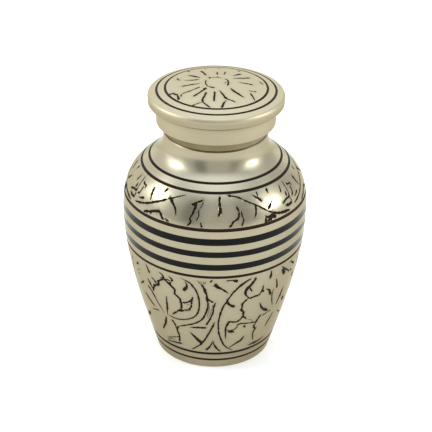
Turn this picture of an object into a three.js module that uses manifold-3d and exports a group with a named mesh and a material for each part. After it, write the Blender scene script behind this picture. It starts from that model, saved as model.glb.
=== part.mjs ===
// A keepsake cremation urn of brass with a worn pewter finish: a hollow baluster body and a lift-off lid.
// Millimetres, +Z up, origin at the middle of the foot's underside; the engraved front faces -Y.
import * as THREE from "three";
import { mergeVertices } from "three/addons/utils/BufferGeometryUtils.js";
import Module from "manifold-3d";

const wasm = await Module();
wasm.setup();

// Overall sizes
const HEIGHT = 77.0;
const BELLY_R = 24.3;
const BELLY_Z = 42.5;
const BASE_R = 15.6;
const FOOT_R = 16.45;
const FOOT_EDGE = 0.35;
const SHOULDER_R = 17.2;
const SHOULDER_Z = 57.0;
const NECK_R = 13.5;
const NECK_Z = 63.3;
const RIM_Z = 63.8;
const SEGMENTS = 28;

// Walls
const WALL = 1.8;
const FLOOR_Z = 4.2;
const RECESS_R = 13.0;
const RECESS_DEPTH = 2.0;
const RECESS_FLARE = 0.4;
const MOUTH_R = 11.7;
const MOUTH_Z = 60.0;

// Lid
const SEAT_GAP = 0.3;
const FIT_GAP = 0.3;
const SEAT_Z = RIM_Z + SEAT_GAP;
const BOSS_R = 12.9;
const COLLAR_Z = 66.45;
const COLLAR_R = 15.45;
const FLANGE_Z = 71.55;
const FLANGE_R = 17.6;
const FLANGE_ROUND = 1.05;
const FLANGE_EDGE = 0.4;
const COVE = 1.4;
const DOME_FALL = 0.0089;
const SPIGOT_R = MOUTH_R - FIT_GAP;
const SPIGOT_BORE_R = 10.0;
const SPIGOT_Z = 59.6;
const LID_TOP_WALL = 2.2;

// Turned rings: height of the middle, width and depth of each groove
const FOOT_RING = { z: 3.0, width: 0.6, depth: 0.2 };
const BASE_RING = { z: 5.45, width: 0.8, depth: 0.25 };
const WAIST_RING = { z: 33.35, width: 0.85, depth: 0.25 };
const STRIPES = [
  { z: 36.4, width: 1.85, depth: 0.15 },
  { z: 40.25, width: 1.7, depth: 0.15 },
  { z: 43.9, width: 1.9, depth: 0.15 },
];
const COLLAR_RING = { z: 47.15, width: 1.0, depth: 0.2 };
const SHOULDER_RINGS = [
  { z: 55.3, width: 0.8, depth: 0.25 },
  { z: 56.95, width: 0.75, depth: 0.25 },
];
const LID_RINGS = [
  { r: 13.1, width: 0.6, depth: 0.2 },
  { r: 15.3, width: 0.6, depth: 0.2 },
];

// Engraving: how deep and how far the cutter stands above the metal
const CUT_DEPTH = 0.32;
const CUT_LIFT = 0.35;
const BOLD = 0.85;
const FINE = 0.5;

const deg = THREE.MathUtils.degToRad;
const lerp = THREE.MathUtils.lerp;

// The outer wall as three curves that meet smoothly: foot to belly, belly to shoulder, shoulder to neck.
const outline = [
  new THREE.CubicBezierCurve(
    new THREE.Vector2(FOOT_R, FOOT_RING.z),
    new THREE.Vector2(FOOT_R + 4.17, FOOT_RING.z + 14.0),
    new THREE.Vector2(BELLY_R, BELLY_Z - 13.5),
    new THREE.Vector2(BELLY_R, BELLY_Z),
  ),
  new THREE.CubicBezierCurve(
    new THREE.Vector2(BELLY_R, BELLY_Z),
    new THREE.Vector2(BELLY_R, BELLY_Z + 8.2),
    new THREE.Vector2(SHOULDER_R + 4.5, SHOULDER_Z - 3.5),
    new THREE.Vector2(SHOULDER_R, SHOULDER_Z),
  ),
  new THREE.CubicBezierCurve(
    new THREE.Vector2(SHOULDER_R, SHOULDER_Z),
    new THREE.Vector2(SHOULDER_R - 4.3, SHOULDER_Z + 2.8),
    new THREE.Vector2(NECK_R + 0.7, NECK_Z - 1.4),
    new THREE.Vector2(NECK_R, NECK_Z),
  ),
];

// The outer wall's point [r, z] at a height, found by halving the curve's parameter.
function wallPoint(z) {
  if (z <= FOOT_RING.z) return [lerp(BASE_R, FOOT_R, z / FOOT_RING.z), z];
  const curve = outline.find((c) => z <= c.v3.y);
  if (!curve) return [NECK_R, z];
  let low = 0;
  let high = 1;
  for (let i = 0; i < 40; i += 1) {
    const middle = (low + high) / 2;
    if (curve.getPoint(middle).y < z) low = middle;
    else high = middle;
  }
  return [curve.getPoint(low).x, z];
}

// The unit vector [r, z] that points out of the wall at a height.
function wallNormal(z) {
  const step = 0.05;
  const [below] = wallPoint(z - step);
  const [above] = wallPoint(z + step);
  const length = Math.hypot(2 * step, above - below);
  return [(2 * step) / length, (below - above) / length];
}

// The wall's point at a height, moved out of the metal by a distance (or into it, below zero).
function offsetPoint(z, distance) {
  const [r] = wallPoint(z);
  const [nr, nz] = wallNormal(z);
  return [r + nr * distance, z + nz * distance];
}

// A V-shaped ring line, cut square to the wall.
function ringPoints({ z, width, depth }) {
  const [, nz] = wallNormal(z);
  const half = (width / 2) * Math.sqrt(1 - nz * nz);
  return [wallPoint(z - half), offsetPoint(z, -depth), wallPoint(z + half)];
}

// A flat-bottomed channel, as cut for an inlaid stripe.
function channelPoints({ z, width, depth }) {
  const low = z - width / 2;
  const high = z + width / 2;
  return [
    wallPoint(low),
    offsetPoint(low + depth / 2, -depth),
    offsetPoint(high - depth / 2, -depth),
    wallPoint(high),
  ];
}

// Points of the plain wall between two heights, ends left out.
function between(zLow, zHigh, count) {
  return Array.from({ length: count }, (_, i) =>
    wallPoint(lerp(zLow, zHigh, (i + 1) / (count + 1))),
  );
}

// Joins, turning and cutting
function solidOf(geometry) {
  geometry.deleteAttribute("normal");
  geometry.deleteAttribute("uv");
  const merged = mergeVertices(geometry, 1e-4);
  const index = merged.index.array;
  const triangles = [];
  for (let i = 0; i < index.length; i += 3) {
    const [a, b, c] = index.slice(i, i + 3);
    if (a !== b && b !== c && c !== a) triangles.push(a, b, c);
  }
  const make = (list) =>
    new wasm.Manifold(
      new wasm.Mesh({
        numProp: 3,
        vertProperties: merged.attributes.position.array,
        triVerts: new Uint32Array(list),
      }),
    );
  const solid = make(triangles);
  return solid.volume() > 0 ? solid : make(triangles.reverse());
}

function turned(profile) {
  const points = profile.map(([r, z]) => new THREE.Vector2(r, z));
  return solidOf(new THREE.LatheGeometry(points, SEGMENTS).rotateX(Math.PI / 2));
}

function geometryOf(solid) {
  const mesh = solid.getMesh();
  const geometry = new THREE.BufferGeometry();
  geometry.setAttribute("position", new THREE.BufferAttribute(mesh.vertProperties, 3));
  geometry.setIndex(new THREE.BufferAttribute(mesh.triVerts, 1));
  const faceted = geometry.toNonIndexed();
  faceted.computeVertexNormals();
  return faceted;
}

// Surfaces that can be engraved: each gives the point and the normal at (x, y) millimetres along it.
function bandSurface(zLow, zHigh) {
  const steps = 60;
  const heights = Array.from({ length: steps + 1 }, (_, i) => lerp(zLow, zHigh, i / steps));
  const lengths = [0];
  for (let i = 1; i <= steps; i += 1) {
    const [r0, z0] = wallPoint(heights[i - 1]);
    const [r1, z1] = wallPoint(heights[i]);
    lengths.push(lengths[i - 1] + Math.hypot(r1 - r0, z1 - z0));
  }
  const length = lengths[steps];
  const at = (angle, y) => {
    const i = Math.max(1, lengths.findIndex((s) => s >= Math.min(y, length - 1e-6)));
    const share = (y - lengths[i - 1]) / (lengths[i] - lengths[i - 1]);
    const z = lerp(heights[i - 1], heights[i], share);
    const [r] = wallPoint(z);
    const [nr, nz] = wallNormal(z);
    const [s, c] = [Math.sin(angle), Math.cos(angle)];
    return {
      point: new THREE.Vector3(r * s, -r * c, z),
      normal: new THREE.Vector3(nr * s, -nr * c, nz),
    };
  };
  return { length, at };
}

const domeZ = (r) => HEIGHT - DOME_FALL * r * r;

// The lid's top, by angle round the middle and distance from it; angle 0 faces the front.
const lidSurface = {
  at: (angle, r) => ({
    point: new THREE.Vector3(r * Math.sin(angle), -r * Math.cos(angle), domeZ(r)),
    normal: new THREE.Vector3(0, 0, 1),
  }),
};

// One stroke of the graver: a tapered V along a path of [angle in degrees, distance] on a surface.
function stroke(surface, path, width) {
  const stations = path.map(([angle, y]) => surface.at(deg(angle), y));
  const last = stations.length - 1;
  const vertices = [];
  stations.forEach(({ point, normal }, i) => {
    const ahead = stations[Math.min(i + 1, last)].point;
    const behind = stations[Math.max(i - 1, 0)].point;
    const side = ahead.clone().sub(behind).cross(normal).normalize();
    const full = last < 2 ? 1 : Math.sin((Math.PI * i) / last) ** 0.6;
    const share = lerp(0.3, 1, full);
    const half = (width / 2) * share * (1 + CUT_LIFT / CUT_DEPTH);
    const top = point.clone().addScaledVector(normal, CUT_LIFT);
    vertices.push(
      top.clone().addScaledVector(side, half),
      top.clone().addScaledVector(side, -half),
      point.clone().addScaledVector(normal, -CUT_DEPTH * share),
    );
  });
  const triangles = [0, 1, 2];
  for (let i = 0; i < last; i += 1) {
    for (let k = 0; k < 3; k += 1) {
      const a = 3 * i + k;
      const b = 3 * i + ((k + 1) % 3);
      triangles.push(a, a + 3, b, b, a + 3, b + 3);
    }
  }
  triangles.push(3 * last + 2, 3 * last + 1, 3 * last);
  const geometry = new THREE.BufferGeometry().setFromPoints(vertices);
  geometry.setIndex(triangles);
  return solidOf(geometry);
}

// A part of an ellipse as a path: sizes in degrees round the urn and millimetres up it.
function ellipsePath([cx, cy], [rx, ry], from, to, steps) {
  return Array.from({ length: steps + 1 }, (_, i) => {
    const a = deg(lerp(from, to, i / steps));
    return [cx + rx * Math.cos(a), cy + ry * Math.sin(a)];
  });
}

// The vine leaf: lobes round its base, each with a turn from upright and a reach in millimetres.
const LEAF_LOBES = [
  { turn: 42, reach: 10.6 },
  { turn: 4, reach: 12.6 },
  { turn: -34, reach: 11.6 },
  { turn: -80, reach: 9.4 },
  { turn: -150, reach: 9.8 },
];
const NOTCH = 0.55;
const VEIN = [0.12, 0.72];
const MM_PER_DEGREE = (21.2 * Math.PI) / 180;

function leafStrokes(surface, [cx, cy], hand) {
  const place = (turn, reach) => [
    cx + (hand * reach * Math.sin(deg(turn))) / MM_PER_DEGREE,
    cy + reach * Math.cos(deg(turn)),
  ];
  const strokes = [];
  LEAF_LOBES.forEach(({ turn, reach }, i) => {
    const before = LEAF_LOBES[i - 1] ?? { turn: turn + 44, reach };
    const after = LEAF_LOBES[i + 1] ?? { turn: turn - 44, reach };
    const rim = [
      place((turn + before.turn) / 2, (NOTCH * (reach + before.reach)) / 2),
      place(turn + 17, reach * 0.78),
      place(turn, reach),
      place(turn - 17, reach * 0.78),
      place((turn + after.turn) / 2, (NOTCH * (reach + after.reach)) / 2),
    ];
    strokes.push(stroke(surface, rim, FINE));
    strokes.push(stroke(surface, VEIN.map((share) => place(turn, reach * share)), BOLD));
  });
  return strokes;
}

// The lower band: a leaf in each quarter, left- and right-handed by turns, between pairs of scroll stems.
function lowerBandStrokes() {
  const surface = bandSurface(BASE_RING.z, WAIST_RING.z);
  const strokes = [];
  for (let quarter = 0; quarter < 4; quarter += 1) {
    const hand = quarter % 2 === 0 ? 1 : -1;
    const middle = 7.5 - hand * 44.5 + 180 * Math.floor(quarter / 2);
    const across = (angle) => middle + hand * angle;
    const path = (points) => points.map(([angle, y]) => [across(angle), y]);
    strokes.push(...leafStrokes(surface, [middle, 12.2], hand));
    const stems = [
      [ellipsePath([14, 19.6], [15, 8.4], 72, -98, 7), BOLD],
      [ellipsePath([11, 19.6], [23, 11.6], 60, -82, 7), FINE],
      [ellipsePath([15, 13.2], [22.5, 12.6], -8, -62, 3), BOLD],
      [ellipsePath([-52, 14.5], [16, 12.4], 62, -56, 6), BOLD],
    ];
    stems.forEach(([points, width]) => strokes.push(stroke(surface, path(points), width)));
    const slashes = [
      [[19, 6.8], [27, 3.4]],
      [[19, 9.6], [31, 10.2]],
      [[17, 24.6], [19, 21.6]],
      [[-12, 27.0], [-10, 24.0]],
      [[-14, 2.0], [-5, 1.5], [4, 1.5], [12, 2.0]],
    ];
    slashes.forEach((points) => strokes.push(stroke(surface, path(points), BOLD)));
  }
  return strokes;
}

// The shoulder band: a running wave with a small leaf in each of its three crests.
function shoulderBandStrokes() {
  const surface = bandSurface(COLLAR_RING.z + COLLAR_RING.width / 2, SHOULDER_RINGS[0].z);
  const crests = 3;
  const strokes = [];
  for (let crest = 0; crest < crests; crest += 1) {
    const middle = -5 + (360 / crests) * crest;
    const path = (points) => points.map(([angle, y]) => [middle + angle, y]);
    const wave = Array.from({ length: 5 }, (_, i) => {
      const share = i / 4;
      return [lerp(14, 60, share), lerp(8.2, 0.9, Math.sin((Math.PI / 2) * share) ** 1.2)];
    });
    const mirrored = wave.map(([angle, y]) => [-angle, y]);
    const marks = [
      [[[8, 8.6], [8.5, 5.6], [8, 3.1]], FINE],
      [[[-3, 7.0], [-9, 5.0], [-10, 2.4]], FINE],
      [[[20, 5.4], [20.5, 3.4], [16, 1.2]], FINE],
      [[[-27, 6.0], [-22, 4.4]], BOLD],
      [[[33, 5.0], [30, 1.8]], BOLD],
      [[[-43, 7.0], [-41.5, 3.8]], BOLD],
      [[[46, 5.0], [42, 3.2]], BOLD],
      [[[58, 5.8], [57, 3.8]], BOLD],
    ];
    strokes.push(stroke(surface, path(wave), BOLD));
    strokes.push(stroke(surface, path(mirrored), BOLD));
    marks.forEach(([points, width]) => strokes.push(stroke(surface, path(points), width)));
  }
  return strokes;
}

// The lid's flower: strokes that run out from the middle, with pointed leaf tips between every other pair.
function flowerStrokes() {
  const petals = 16;
  const inner = 4.6;
  const outer = 8.4;
  const tip = 12.2;
  const strokes = [];
  for (let i = 0; i < petals; i += 1) {
    const angle = (360 / petals) * i;
    const reach = i % 2 === 0 ? outer + 0.9 : outer;
    strokes.push(stroke(lidSurface, [[angle, inner], [angle + 2, reach]], FINE));
    if (i % 4 === 1) {
      strokes.push(stroke(lidSurface, [[angle, 9.6], [angle + 12, 11], [angle + 14, tip]], FINE));
      strokes.push(stroke(lidSurface, [[angle, 9.6], [angle - 13, 10.8]], BOLD));
    }
  }
  strokes.push(stroke(lidSurface, ellipseRound(2.9, 200, 430, 9), BOLD));
  return strokes;
}

// Part of a circle about the lid's middle, as a path.
function ellipseRound(r, from, to, steps) {
  return Array.from({ length: steps + 1 }, (_, i) => [lerp(from, to, i / steps), r]);
}

// Body: a hollow vessel with a recessed underside and an open mouth.
function bodySolid() {
  const top = (band) => band.z + band.width / 2;
  const bottom = (band) => band.z - band.width / 2;
  const outside = [
    [0, RECESS_DEPTH],
    [RECESS_R, RECESS_DEPTH],
    [RECESS_R + RECESS_FLARE, 0],
    [BASE_R - FOOT_EDGE, 0],
    wallPoint(FOOT_EDGE),
    ...ringPoints(FOOT_RING),
    ...ringPoints(BASE_RING),
    ...between(top(BASE_RING), bottom(WAIST_RING), 4),
    ...ringPoints(WAIST_RING),
    ...STRIPES.flatMap(channelPoints),
    ...channelPoints(COLLAR_RING),
    ...between(top(COLLAR_RING), bottom(SHOULDER_RINGS[0]), 2),
    ...SHOULDER_RINGS.flatMap(ringPoints),
    ...between(top(SHOULDER_RINGS[1]), NECK_Z, 3),
    [NECK_R, NECK_Z],
    [NECK_R, RIM_Z],
  ];
  const insideHeights = [57.8, 53.3, 42.5, 29.8, 15.8, 8.8];
  const inside = insideHeights.map((z) => offsetPoint(z, -WALL));
  const vessel = turned([
    ...outside,
    [MOUTH_R, RIM_Z],
    [MOUTH_R, MOUTH_Z],
    ...inside,
    [inside.at(-1)[0] - 1.6, FLOOR_Z],
    [0, FLOOR_Z],
  ]);
  const cuts = wasm.Manifold.union([...lowerBandStrokes(), ...shoulderBandStrokes()]);
  return vessel.subtract(cuts);
}

// Lid: a domed flange on a collar, with a spigot that drops into the mouth; hollow from below.
function lidSolid() {
  const rings = LID_RINGS.flatMap(({ r, width, depth }) => [
    [r - width / 2, domeZ(r - width / 2)],
    [r, domeZ(r) - depth],
    [r + width / 2, domeZ(r + width / 2)],
  ]);
  const flat = FLANGE_R - FLANGE_ROUND;
  const round = [45, 90].map((turn) => [
    flat + FLANGE_ROUND * Math.sin(deg(turn)),
    domeZ(flat) - FLANGE_ROUND * (1 - Math.cos(deg(turn))),
  ]);
  const coveShare = 1 - Math.SQRT1_2;
  const blank = turned([
    [0, domeZ(0)],
    [6.5, domeZ(6.5)],
    ...rings,
    [flat, domeZ(flat)],
    ...round,
    [FLANGE_R, FLANGE_Z + FLANGE_EDGE],
    [FLANGE_R - FLANGE_EDGE, FLANGE_Z],
    [COLLAR_R + COVE, FLANGE_Z],
    [COLLAR_R + COVE * coveShare, FLANGE_Z - COVE * coveShare],
    [COLLAR_R, FLANGE_Z - COVE],
    [COLLAR_R, COLLAR_Z],
    [BOSS_R, COLLAR_Z],
    [BOSS_R, SEAT_Z],
    [SPIGOT_R, SEAT_Z],
    [SPIGOT_R, SPIGOT_Z],
    [SPIGOT_BORE_R, SPIGOT_Z],
    [SPIGOT_BORE_R, domeZ(SPIGOT_BORE_R) - LID_TOP_WALL],
    [0, domeZ(SPIGOT_BORE_R) - LID_TOP_WALL],
  ]);
  return blank.subtract(wasm.Manifold.union(flowerStrokes()));
}

// Finishes: warm pewter, a little brighter on the lid
const bodyPewter = new THREE.MeshStandardMaterial({
  color: 0xc3ba9e,
  roughness: 0.36,
  metalness: 0.9,
  flatShading: true,
});
const lidPewter = new THREE.MeshStandardMaterial({
  color: 0xd2c8a9,
  roughness: 0.32,
  metalness: 0.9,
  flatShading: true,
});

function piece(name, solid, material) {
  const mesh = new THREE.Mesh(geometryOf(solid), material);
  mesh.name = name;
  return mesh;
}

const urn = new THREE.Group();
urn.add(piece("urn_body", bodySolid(), bodyPewter));
urn.add(piece("urn_lid", lidSolid(), lidPewter));

export default urn;
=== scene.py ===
"""A keepsake cremation urn in pewter-finished brass: engraved leaf bands, black stripes, a lift-off lid.

Places on the urn are given by an angle in degrees, 0 at the front (-Y) and growing towards +X, and by a
length along the outline. The engraver's drawing unit is GRID, one part in 322.4 of the urn's height.
"""
import logging
import math
from collections.abc import Iterator, Sequence
from dataclasses import dataclass, field
from enum import Enum

import bmesh
import bpy
import numpy as np
from mathutils import Matrix, Vector
from mathutils.geometry import delaunay_2d_cdt
from mathutils.kdtree import KDTree


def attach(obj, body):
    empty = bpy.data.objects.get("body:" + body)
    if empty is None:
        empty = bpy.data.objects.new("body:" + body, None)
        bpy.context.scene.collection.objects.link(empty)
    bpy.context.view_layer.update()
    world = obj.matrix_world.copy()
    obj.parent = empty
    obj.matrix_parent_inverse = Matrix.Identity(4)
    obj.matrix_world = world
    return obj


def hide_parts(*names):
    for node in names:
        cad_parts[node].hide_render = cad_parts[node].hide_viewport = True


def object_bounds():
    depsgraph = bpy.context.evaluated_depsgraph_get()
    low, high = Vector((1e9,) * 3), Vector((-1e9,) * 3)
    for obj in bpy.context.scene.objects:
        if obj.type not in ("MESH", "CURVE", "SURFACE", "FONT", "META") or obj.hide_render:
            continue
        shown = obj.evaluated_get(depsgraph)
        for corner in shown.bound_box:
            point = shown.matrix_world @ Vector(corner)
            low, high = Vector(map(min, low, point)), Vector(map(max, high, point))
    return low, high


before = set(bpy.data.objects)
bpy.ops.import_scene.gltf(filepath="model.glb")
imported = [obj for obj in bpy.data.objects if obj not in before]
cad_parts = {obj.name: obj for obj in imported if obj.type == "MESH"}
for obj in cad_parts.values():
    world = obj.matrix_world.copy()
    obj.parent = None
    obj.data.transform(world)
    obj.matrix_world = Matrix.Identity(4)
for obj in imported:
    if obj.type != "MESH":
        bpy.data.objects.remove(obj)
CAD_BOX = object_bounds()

LOG = logging.getLogger("urn")
MM = 0.001
TOTAL_HEIGHT = CAD_BOX[1][2] - CAD_BOX[0][2]
GRID = TOTAL_HEIGHT / 322.4
# Faces round the urn.
COLUMNS = 240
# Painted shade in the recess between the lid's collar and the neck rim: a value far above the 1 beside a
# stroke, so that the lid's boss and the rim top look as dark as deep shadow.
RECESS_PAINTED_SHADE = 4.2
# Points closer than this become one.
WELD = 0.002 * MM
ROOT = "root"
# What each point of a shell carries: run is the length run so far along the whole profile.
VALUES = ("patina", "enamel", "soot", "run")

Point2 = tuple[float, float]


class Cut(Enum):
    """How a graver's stroke swells and fades along its length."""

    LINE = "line"
    SWELL = "swell"
    WEDGE = "wedge"
    CHIP = "chip"


@dataclass(frozen=True)
class Stroke:
    """One cut of the graver: its width in grid units, its kind, and the points that it passes through."""

    width: float
    cut: Cut
    points: tuple[Point2, ...]


def line(width: float, *points: Point2) -> Stroke:
    """An even line with short tapered ends."""
    return Stroke(width, Cut.LINE, points)


def swell(width: float, *points: Point2) -> Stroke:
    """A cut that is widest in its middle."""
    return Stroke(width, Cut.SWELL, points)


def wedge(width: float, *points: Point2) -> Stroke:
    """A cut that starts wide and runs out to nothing."""
    return Stroke(width, Cut.WEDGE, points)


def chip(width: float, *points: Point2) -> Stroke:
    """Short straight cuts from point to point, each run a little past its corner."""
    return Stroke(width, Cut.CHIP, points)


class Wire:
    """A node socket that takes part in Python arithmetic; each operator adds one Math node."""

    def __init__(self, bench: "Bench", socket: bpy.types.NodeSocket) -> None:
        """Keeps the bench that makes the nodes, and the socket."""
        self.bench = bench
        self.socket = socket

    def __add__(self, other: object) -> "Wire":
        """self + other."""
        return self.bench.math("ADD", self, other)

    __radd__ = __add__

    def __mul__(self, other: object) -> "Wire":
        """self * other."""
        return self.bench.math("MULTIPLY", self, other)

    __rmul__ = __mul__

    def __sub__(self, other: object) -> "Wire":
        """self - other."""
        return self.bench.math("SUBTRACT", self, other)

    def __rsub__(self, other: object) -> "Wire":
        """other - self."""
        return self.bench.math("SUBTRACT", other, self)

    def __truediv__(self, other: object) -> "Wire":
        """self / other."""
        return self.bench.math("DIVIDE", self, other)


class Bench:
    """Makes nodes in one tree, for shaders and for geometry alike."""

    def __init__(self, tree: bpy.types.NodeTree) -> None:
        """Keeps the tree that the nodes go into."""
        self.tree = tree

    def node(
        self,
        kind: str,
        inputs: Sequence[object] | dict[object, object] = (),
        output: int | str = 0,
        **settings: object,
    ) -> Wire:
        """Adds a node.

        Args:
            kind: the node's type name.
            inputs: values or wires, in order or by socket name or number.
            output: the output socket that the wire takes.
            settings: properties, such as a Math node's operation, which are set before the inputs.

        Returns:
            The wire of the chosen output.
        """
        made = self.tree.nodes.new(kind)
        for name, value in settings.items():
            setattr(made, name, value)
        pairs = inputs.items() if isinstance(inputs, dict) else enumerate(inputs)
        for key, value in pairs:
            self.feed(made.inputs[key], value)
        return Wire(self, made.outputs[output])

    def feed(self, socket: bpy.types.NodeSocket, value: object) -> None:
        """Links a wire to a socket, or sets the socket's value.

        Args:
            socket: the input socket.
            value: a wire or a plain value.
        """
        if isinstance(value, Wire):
            self.tree.links.new(value.socket, socket)
        else:
            socket.default_value = value

    def math(self, operation: str, *values: object) -> Wire:
        """Adds a Math node for one operation on its values."""
        return self.node("ShaderNodeMath", values, operation=operation)

    def parts(self, vector: Wire) -> tuple[Wire, Wire, Wire]:
        """The three parts of a vector.

        Args:
            vector: the vector's wire.

        Returns:
            The wires of its x, y and z.
        """
        split = self.node("ShaderNodeSeparateXYZ", [vector])
        x, y, z = (Wire(self, socket) for socket in split.socket.node.outputs)
        return x, y, z

    def share(
        self, value: Wire, low: float, high: float, ends: Point2 = (0.0, 1.0), soft: bool = False
    ) -> Wire:
        """How far a value has come between two others.

        Args:
            value: the wire that is read.
            low: where the share begins.
            high: where it is complete.
            ends: what the share gives at its two ends.
            soft: whether it eases in and out.

        Returns:
            The wire of the share, held between its ends.
        """
        inputs = {0: value, 1: low, 2: high, 3: ends[0], 4: ends[1]}
        return self.node("ShaderNodeMapRange", inputs, interpolation_type="SMOOTHSTEP" if soft else "LINEAR")

    def mix(self, factor: object, first: object, second: object, blend: str = "MIX") -> Wire:
        """Mixes two colours, each of them a wire or three plain numbers.

        Args:
            factor: how far the mix goes from the first to the second.
            first: the first colour.
            second: the second colour.
            blend: the blend type's name.

        Returns:
            The wire of the mixed colour.
        """
        first, second = ((*c, 1.0) if isinstance(c, tuple) else c for c in (first, second))
        inputs = {0: factor, 6: first, 7: second}
        return self.node("ShaderNodeMix", inputs, output=2, data_type="RGBA", blend_type=blend)

    def end(self, kind: str, wire: Wire) -> None:
        """Ends the tree at an output node, whose first socket takes the wire."""
        self.feed(self.tree.nodes.new(kind).inputs[0], wire)


def linked(name: str, data: bpy.types.ID) -> bpy.types.Object:
    """A new object that holds some data, linked to the scene."""
    made = bpy.data.objects.new(name, data)
    bpy.context.scene.collection.objects.link(made)
    return made


def quarter_turn(steps: int) -> list[Point2]:
    """The sine and cosine at even steps of a quarter turn, from 0 to 90 degrees."""
    turns = [math.radians(90 * i / steps) for i in range(steps + 1)]
    return [(math.sin(turn), math.cos(turn)) for turn in turns]


@dataclass(frozen=True)
class RingLine:
    """A turned ring: the height of its middle (or its radius, on the lid), its width and its depth."""

    place: float
    width: float
    depth: float


@dataclass(frozen=True)
class ProfilePoint:
    """A point of a turned profile: radius, height, and how far dark patina, enamel or painted shade covers
    it.
    """

    r: float
    z: float
    patina: float = 0.0
    enamel: float = 0.0
    soot: float = 0.0


def cubic(p0: Point2, p1: Point2, p2: Point2, p3: Point2, t: float) -> Point2:
    """The point of a cubic curve at t.

    Args:
        p0: where the curve starts.
        p1: the handle that it leaves towards.
        p2: the handle that it arrives from.
        p3: where it ends.
        t: the place along it, from 0 to 1.

    Returns:
        The point.
    """
    weights = ((1 - t) ** 3, 3 * t * (1 - t) ** 2, 3 * t * t * (1 - t), t**3)
    return (
        sum(w * p[0] for w, p in zip(weights, (p0, p1, p2, p3))),
        sum(w * p[1] for w, p in zip(weights, (p0, p1, p2, p3))),
    )


@dataclass
class Outline:
    """The body's outer wall: a tapering foot, three smooth curves and a straight neck.

    handles holds, for each curve, how far its two handles lie from its two ends.
    """

    base_r: float = 15.6 * MM
    foot_r: float = 16.45 * MM
    foot_z: float = 3.0 * MM
    belly_r: float = 24.295 * MM
    belly_z: float = 42.5 * MM
    shoulder_r: float = 17.2 * MM
    shoulder_z: float = 57.0 * MM
    neck_r: float = 13.61 * MM
    neck_z: float = 63.3 * MM
    handles: tuple[tuple[Point2, Point2], ...] = (
        ((4.17 * MM, 14.0 * MM), (0.0, -13.5 * MM)),
        ((0.0, 8.2 * MM), (4.5 * MM, -3.5 * MM)),
        ((-2.775 * MM, 1.807 * MM), (0.13 * MM, -2.96 * MM)),
    )
    steps: int = 160
    slope_step: float = 0.15 * MM
    table: np.ndarray = field(init=False)

    def __post_init__(self) -> None:
        """Works out the table of radius by height that every other method reads."""
        knots = [
            (self.foot_r, self.foot_z),
            (self.belly_r, self.belly_z),
            (self.shoulder_r, self.shoulder_z),
            (self.neck_r, self.neck_z),
        ]
        rows = []
        for start, end, (leave, arrive) in zip(knots[:-1], knots[1:], self.handles):
            out = (start[0] + leave[0], start[1] + leave[1])
            into = (end[0] + arrive[0], end[1] + arrive[1])
            rows += [cubic(start, out, into, end, i / self.steps) for i in range(self.steps)]
        self.table = np.array([(self.base_r, 0.0), *rows, knots[-1]])

    def radius(self, z: float) -> float:
        """The outer radius at a height."""
        return float(np.interp(z, self.table[:, 1], self.table[:, 0]))

    def normal(self, z: float) -> Point2:
        """The unit vector (r, z) that points out of the wall at a height.

        Args:
            z: the height.

        Returns:
            Its radial part and its upward part.
        """
        step = self.slope_step
        rise = self.radius(z + step) - self.radius(z - step)
        length = math.hypot(2 * step, rise)
        return 2 * step / length, -rise / length

    def inset(self, z: float, depth: float) -> Point2:
        """The point (r, z) that lies a depth inside the wall's surface at a height."""
        nr, nz = self.normal(z)
        return self.radius(z) - nr * depth, z - nz * depth

    def heights(self, low: float, high: float, pitch: float) -> list[float]:
        """Heights from low to high whose points are about a pitch apart along the wall.

        Args:
            low: the first height.
            high: the last height.
            pitch: the distance along the wall.

        Returns:
            The heights, both ends included.
        """
        z = np.linspace(low, high, 400)
        r = np.array([self.radius(value) for value in z])
        length = np.concatenate([[0.0], np.cumsum(np.hypot(np.diff(r), np.diff(z)))])
        count = max(1, round(length[-1] / pitch))
        return [float(np.interp(length[-1] * i / count, length, z)) for i in range(count + 1)]


# A ring line's section: the share of its half width, the share of its depth, and its patina.
RING_CUT = (
    (-1.0, 0.0, 0),
    (-0.98, 0.0, 0),
    (-0.94, 0.08, 1),
    (0.0, 1.0, 1),
    (0.94, 0.08, 1),
    (0.98, 0.0, 0),
    (1.0, 0.0, 0),
)


def ring_profile(outline: Outline, ring: RingLine, soot: float = 0.0) -> list[ProfilePoint]:
    """A blackened V-shaped ring line cut square to the wall, with painted shade on its lower side.

    Args:
        outline: the wall that it is cut in.
        ring: the ring's place, width and depth.
        soot: how much painted shade lies below its middle.

    Returns:
        The profile across the ring, from below upwards.
    """
    half = ring.width / 2
    _, nz = outline.normal(ring.place)
    along = math.sqrt(1 - nz * nz)
    points = []
    for share, depth, patina in RING_CUT:
        z = ring.place + half * along * share
        r, height = outline.inset(z, ring.depth * depth)
        points.append(ProfilePoint(r, height, patina=patina, soot=soot if share < 0 else 0.0))
    return points


def stripe_profile(outline: Outline, stripe: RingLine) -> list[ProfilePoint]:
    """A shallow channel filled with black enamel, its surface a little below the metal.

    Args:
        outline: the wall that it is cut in.
        stripe: the stripe's place, width and depth.

    Returns:
        The profile across the stripe, from below upwards.
    """
    low = stripe.place - stripe.width / 2
    high = stripe.place + stripe.width / 2
    lip = 0.03 * MM
    points = [ProfilePoint(outline.radius(low), low)]
    for share in (0.0, 0.15, 0.5, 0.85, 1.0):
        z = low + lip + (high - low - 2 * lip) * share
        sag = stripe.depth * (0.75 + 0.25 * math.sin(math.pi * share))
        r, height = outline.inset(z, sag)
        points.append(ProfilePoint(r, height, enamel=1.0))
    points.append(ProfilePoint(outline.radius(high), high))
    return points


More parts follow.
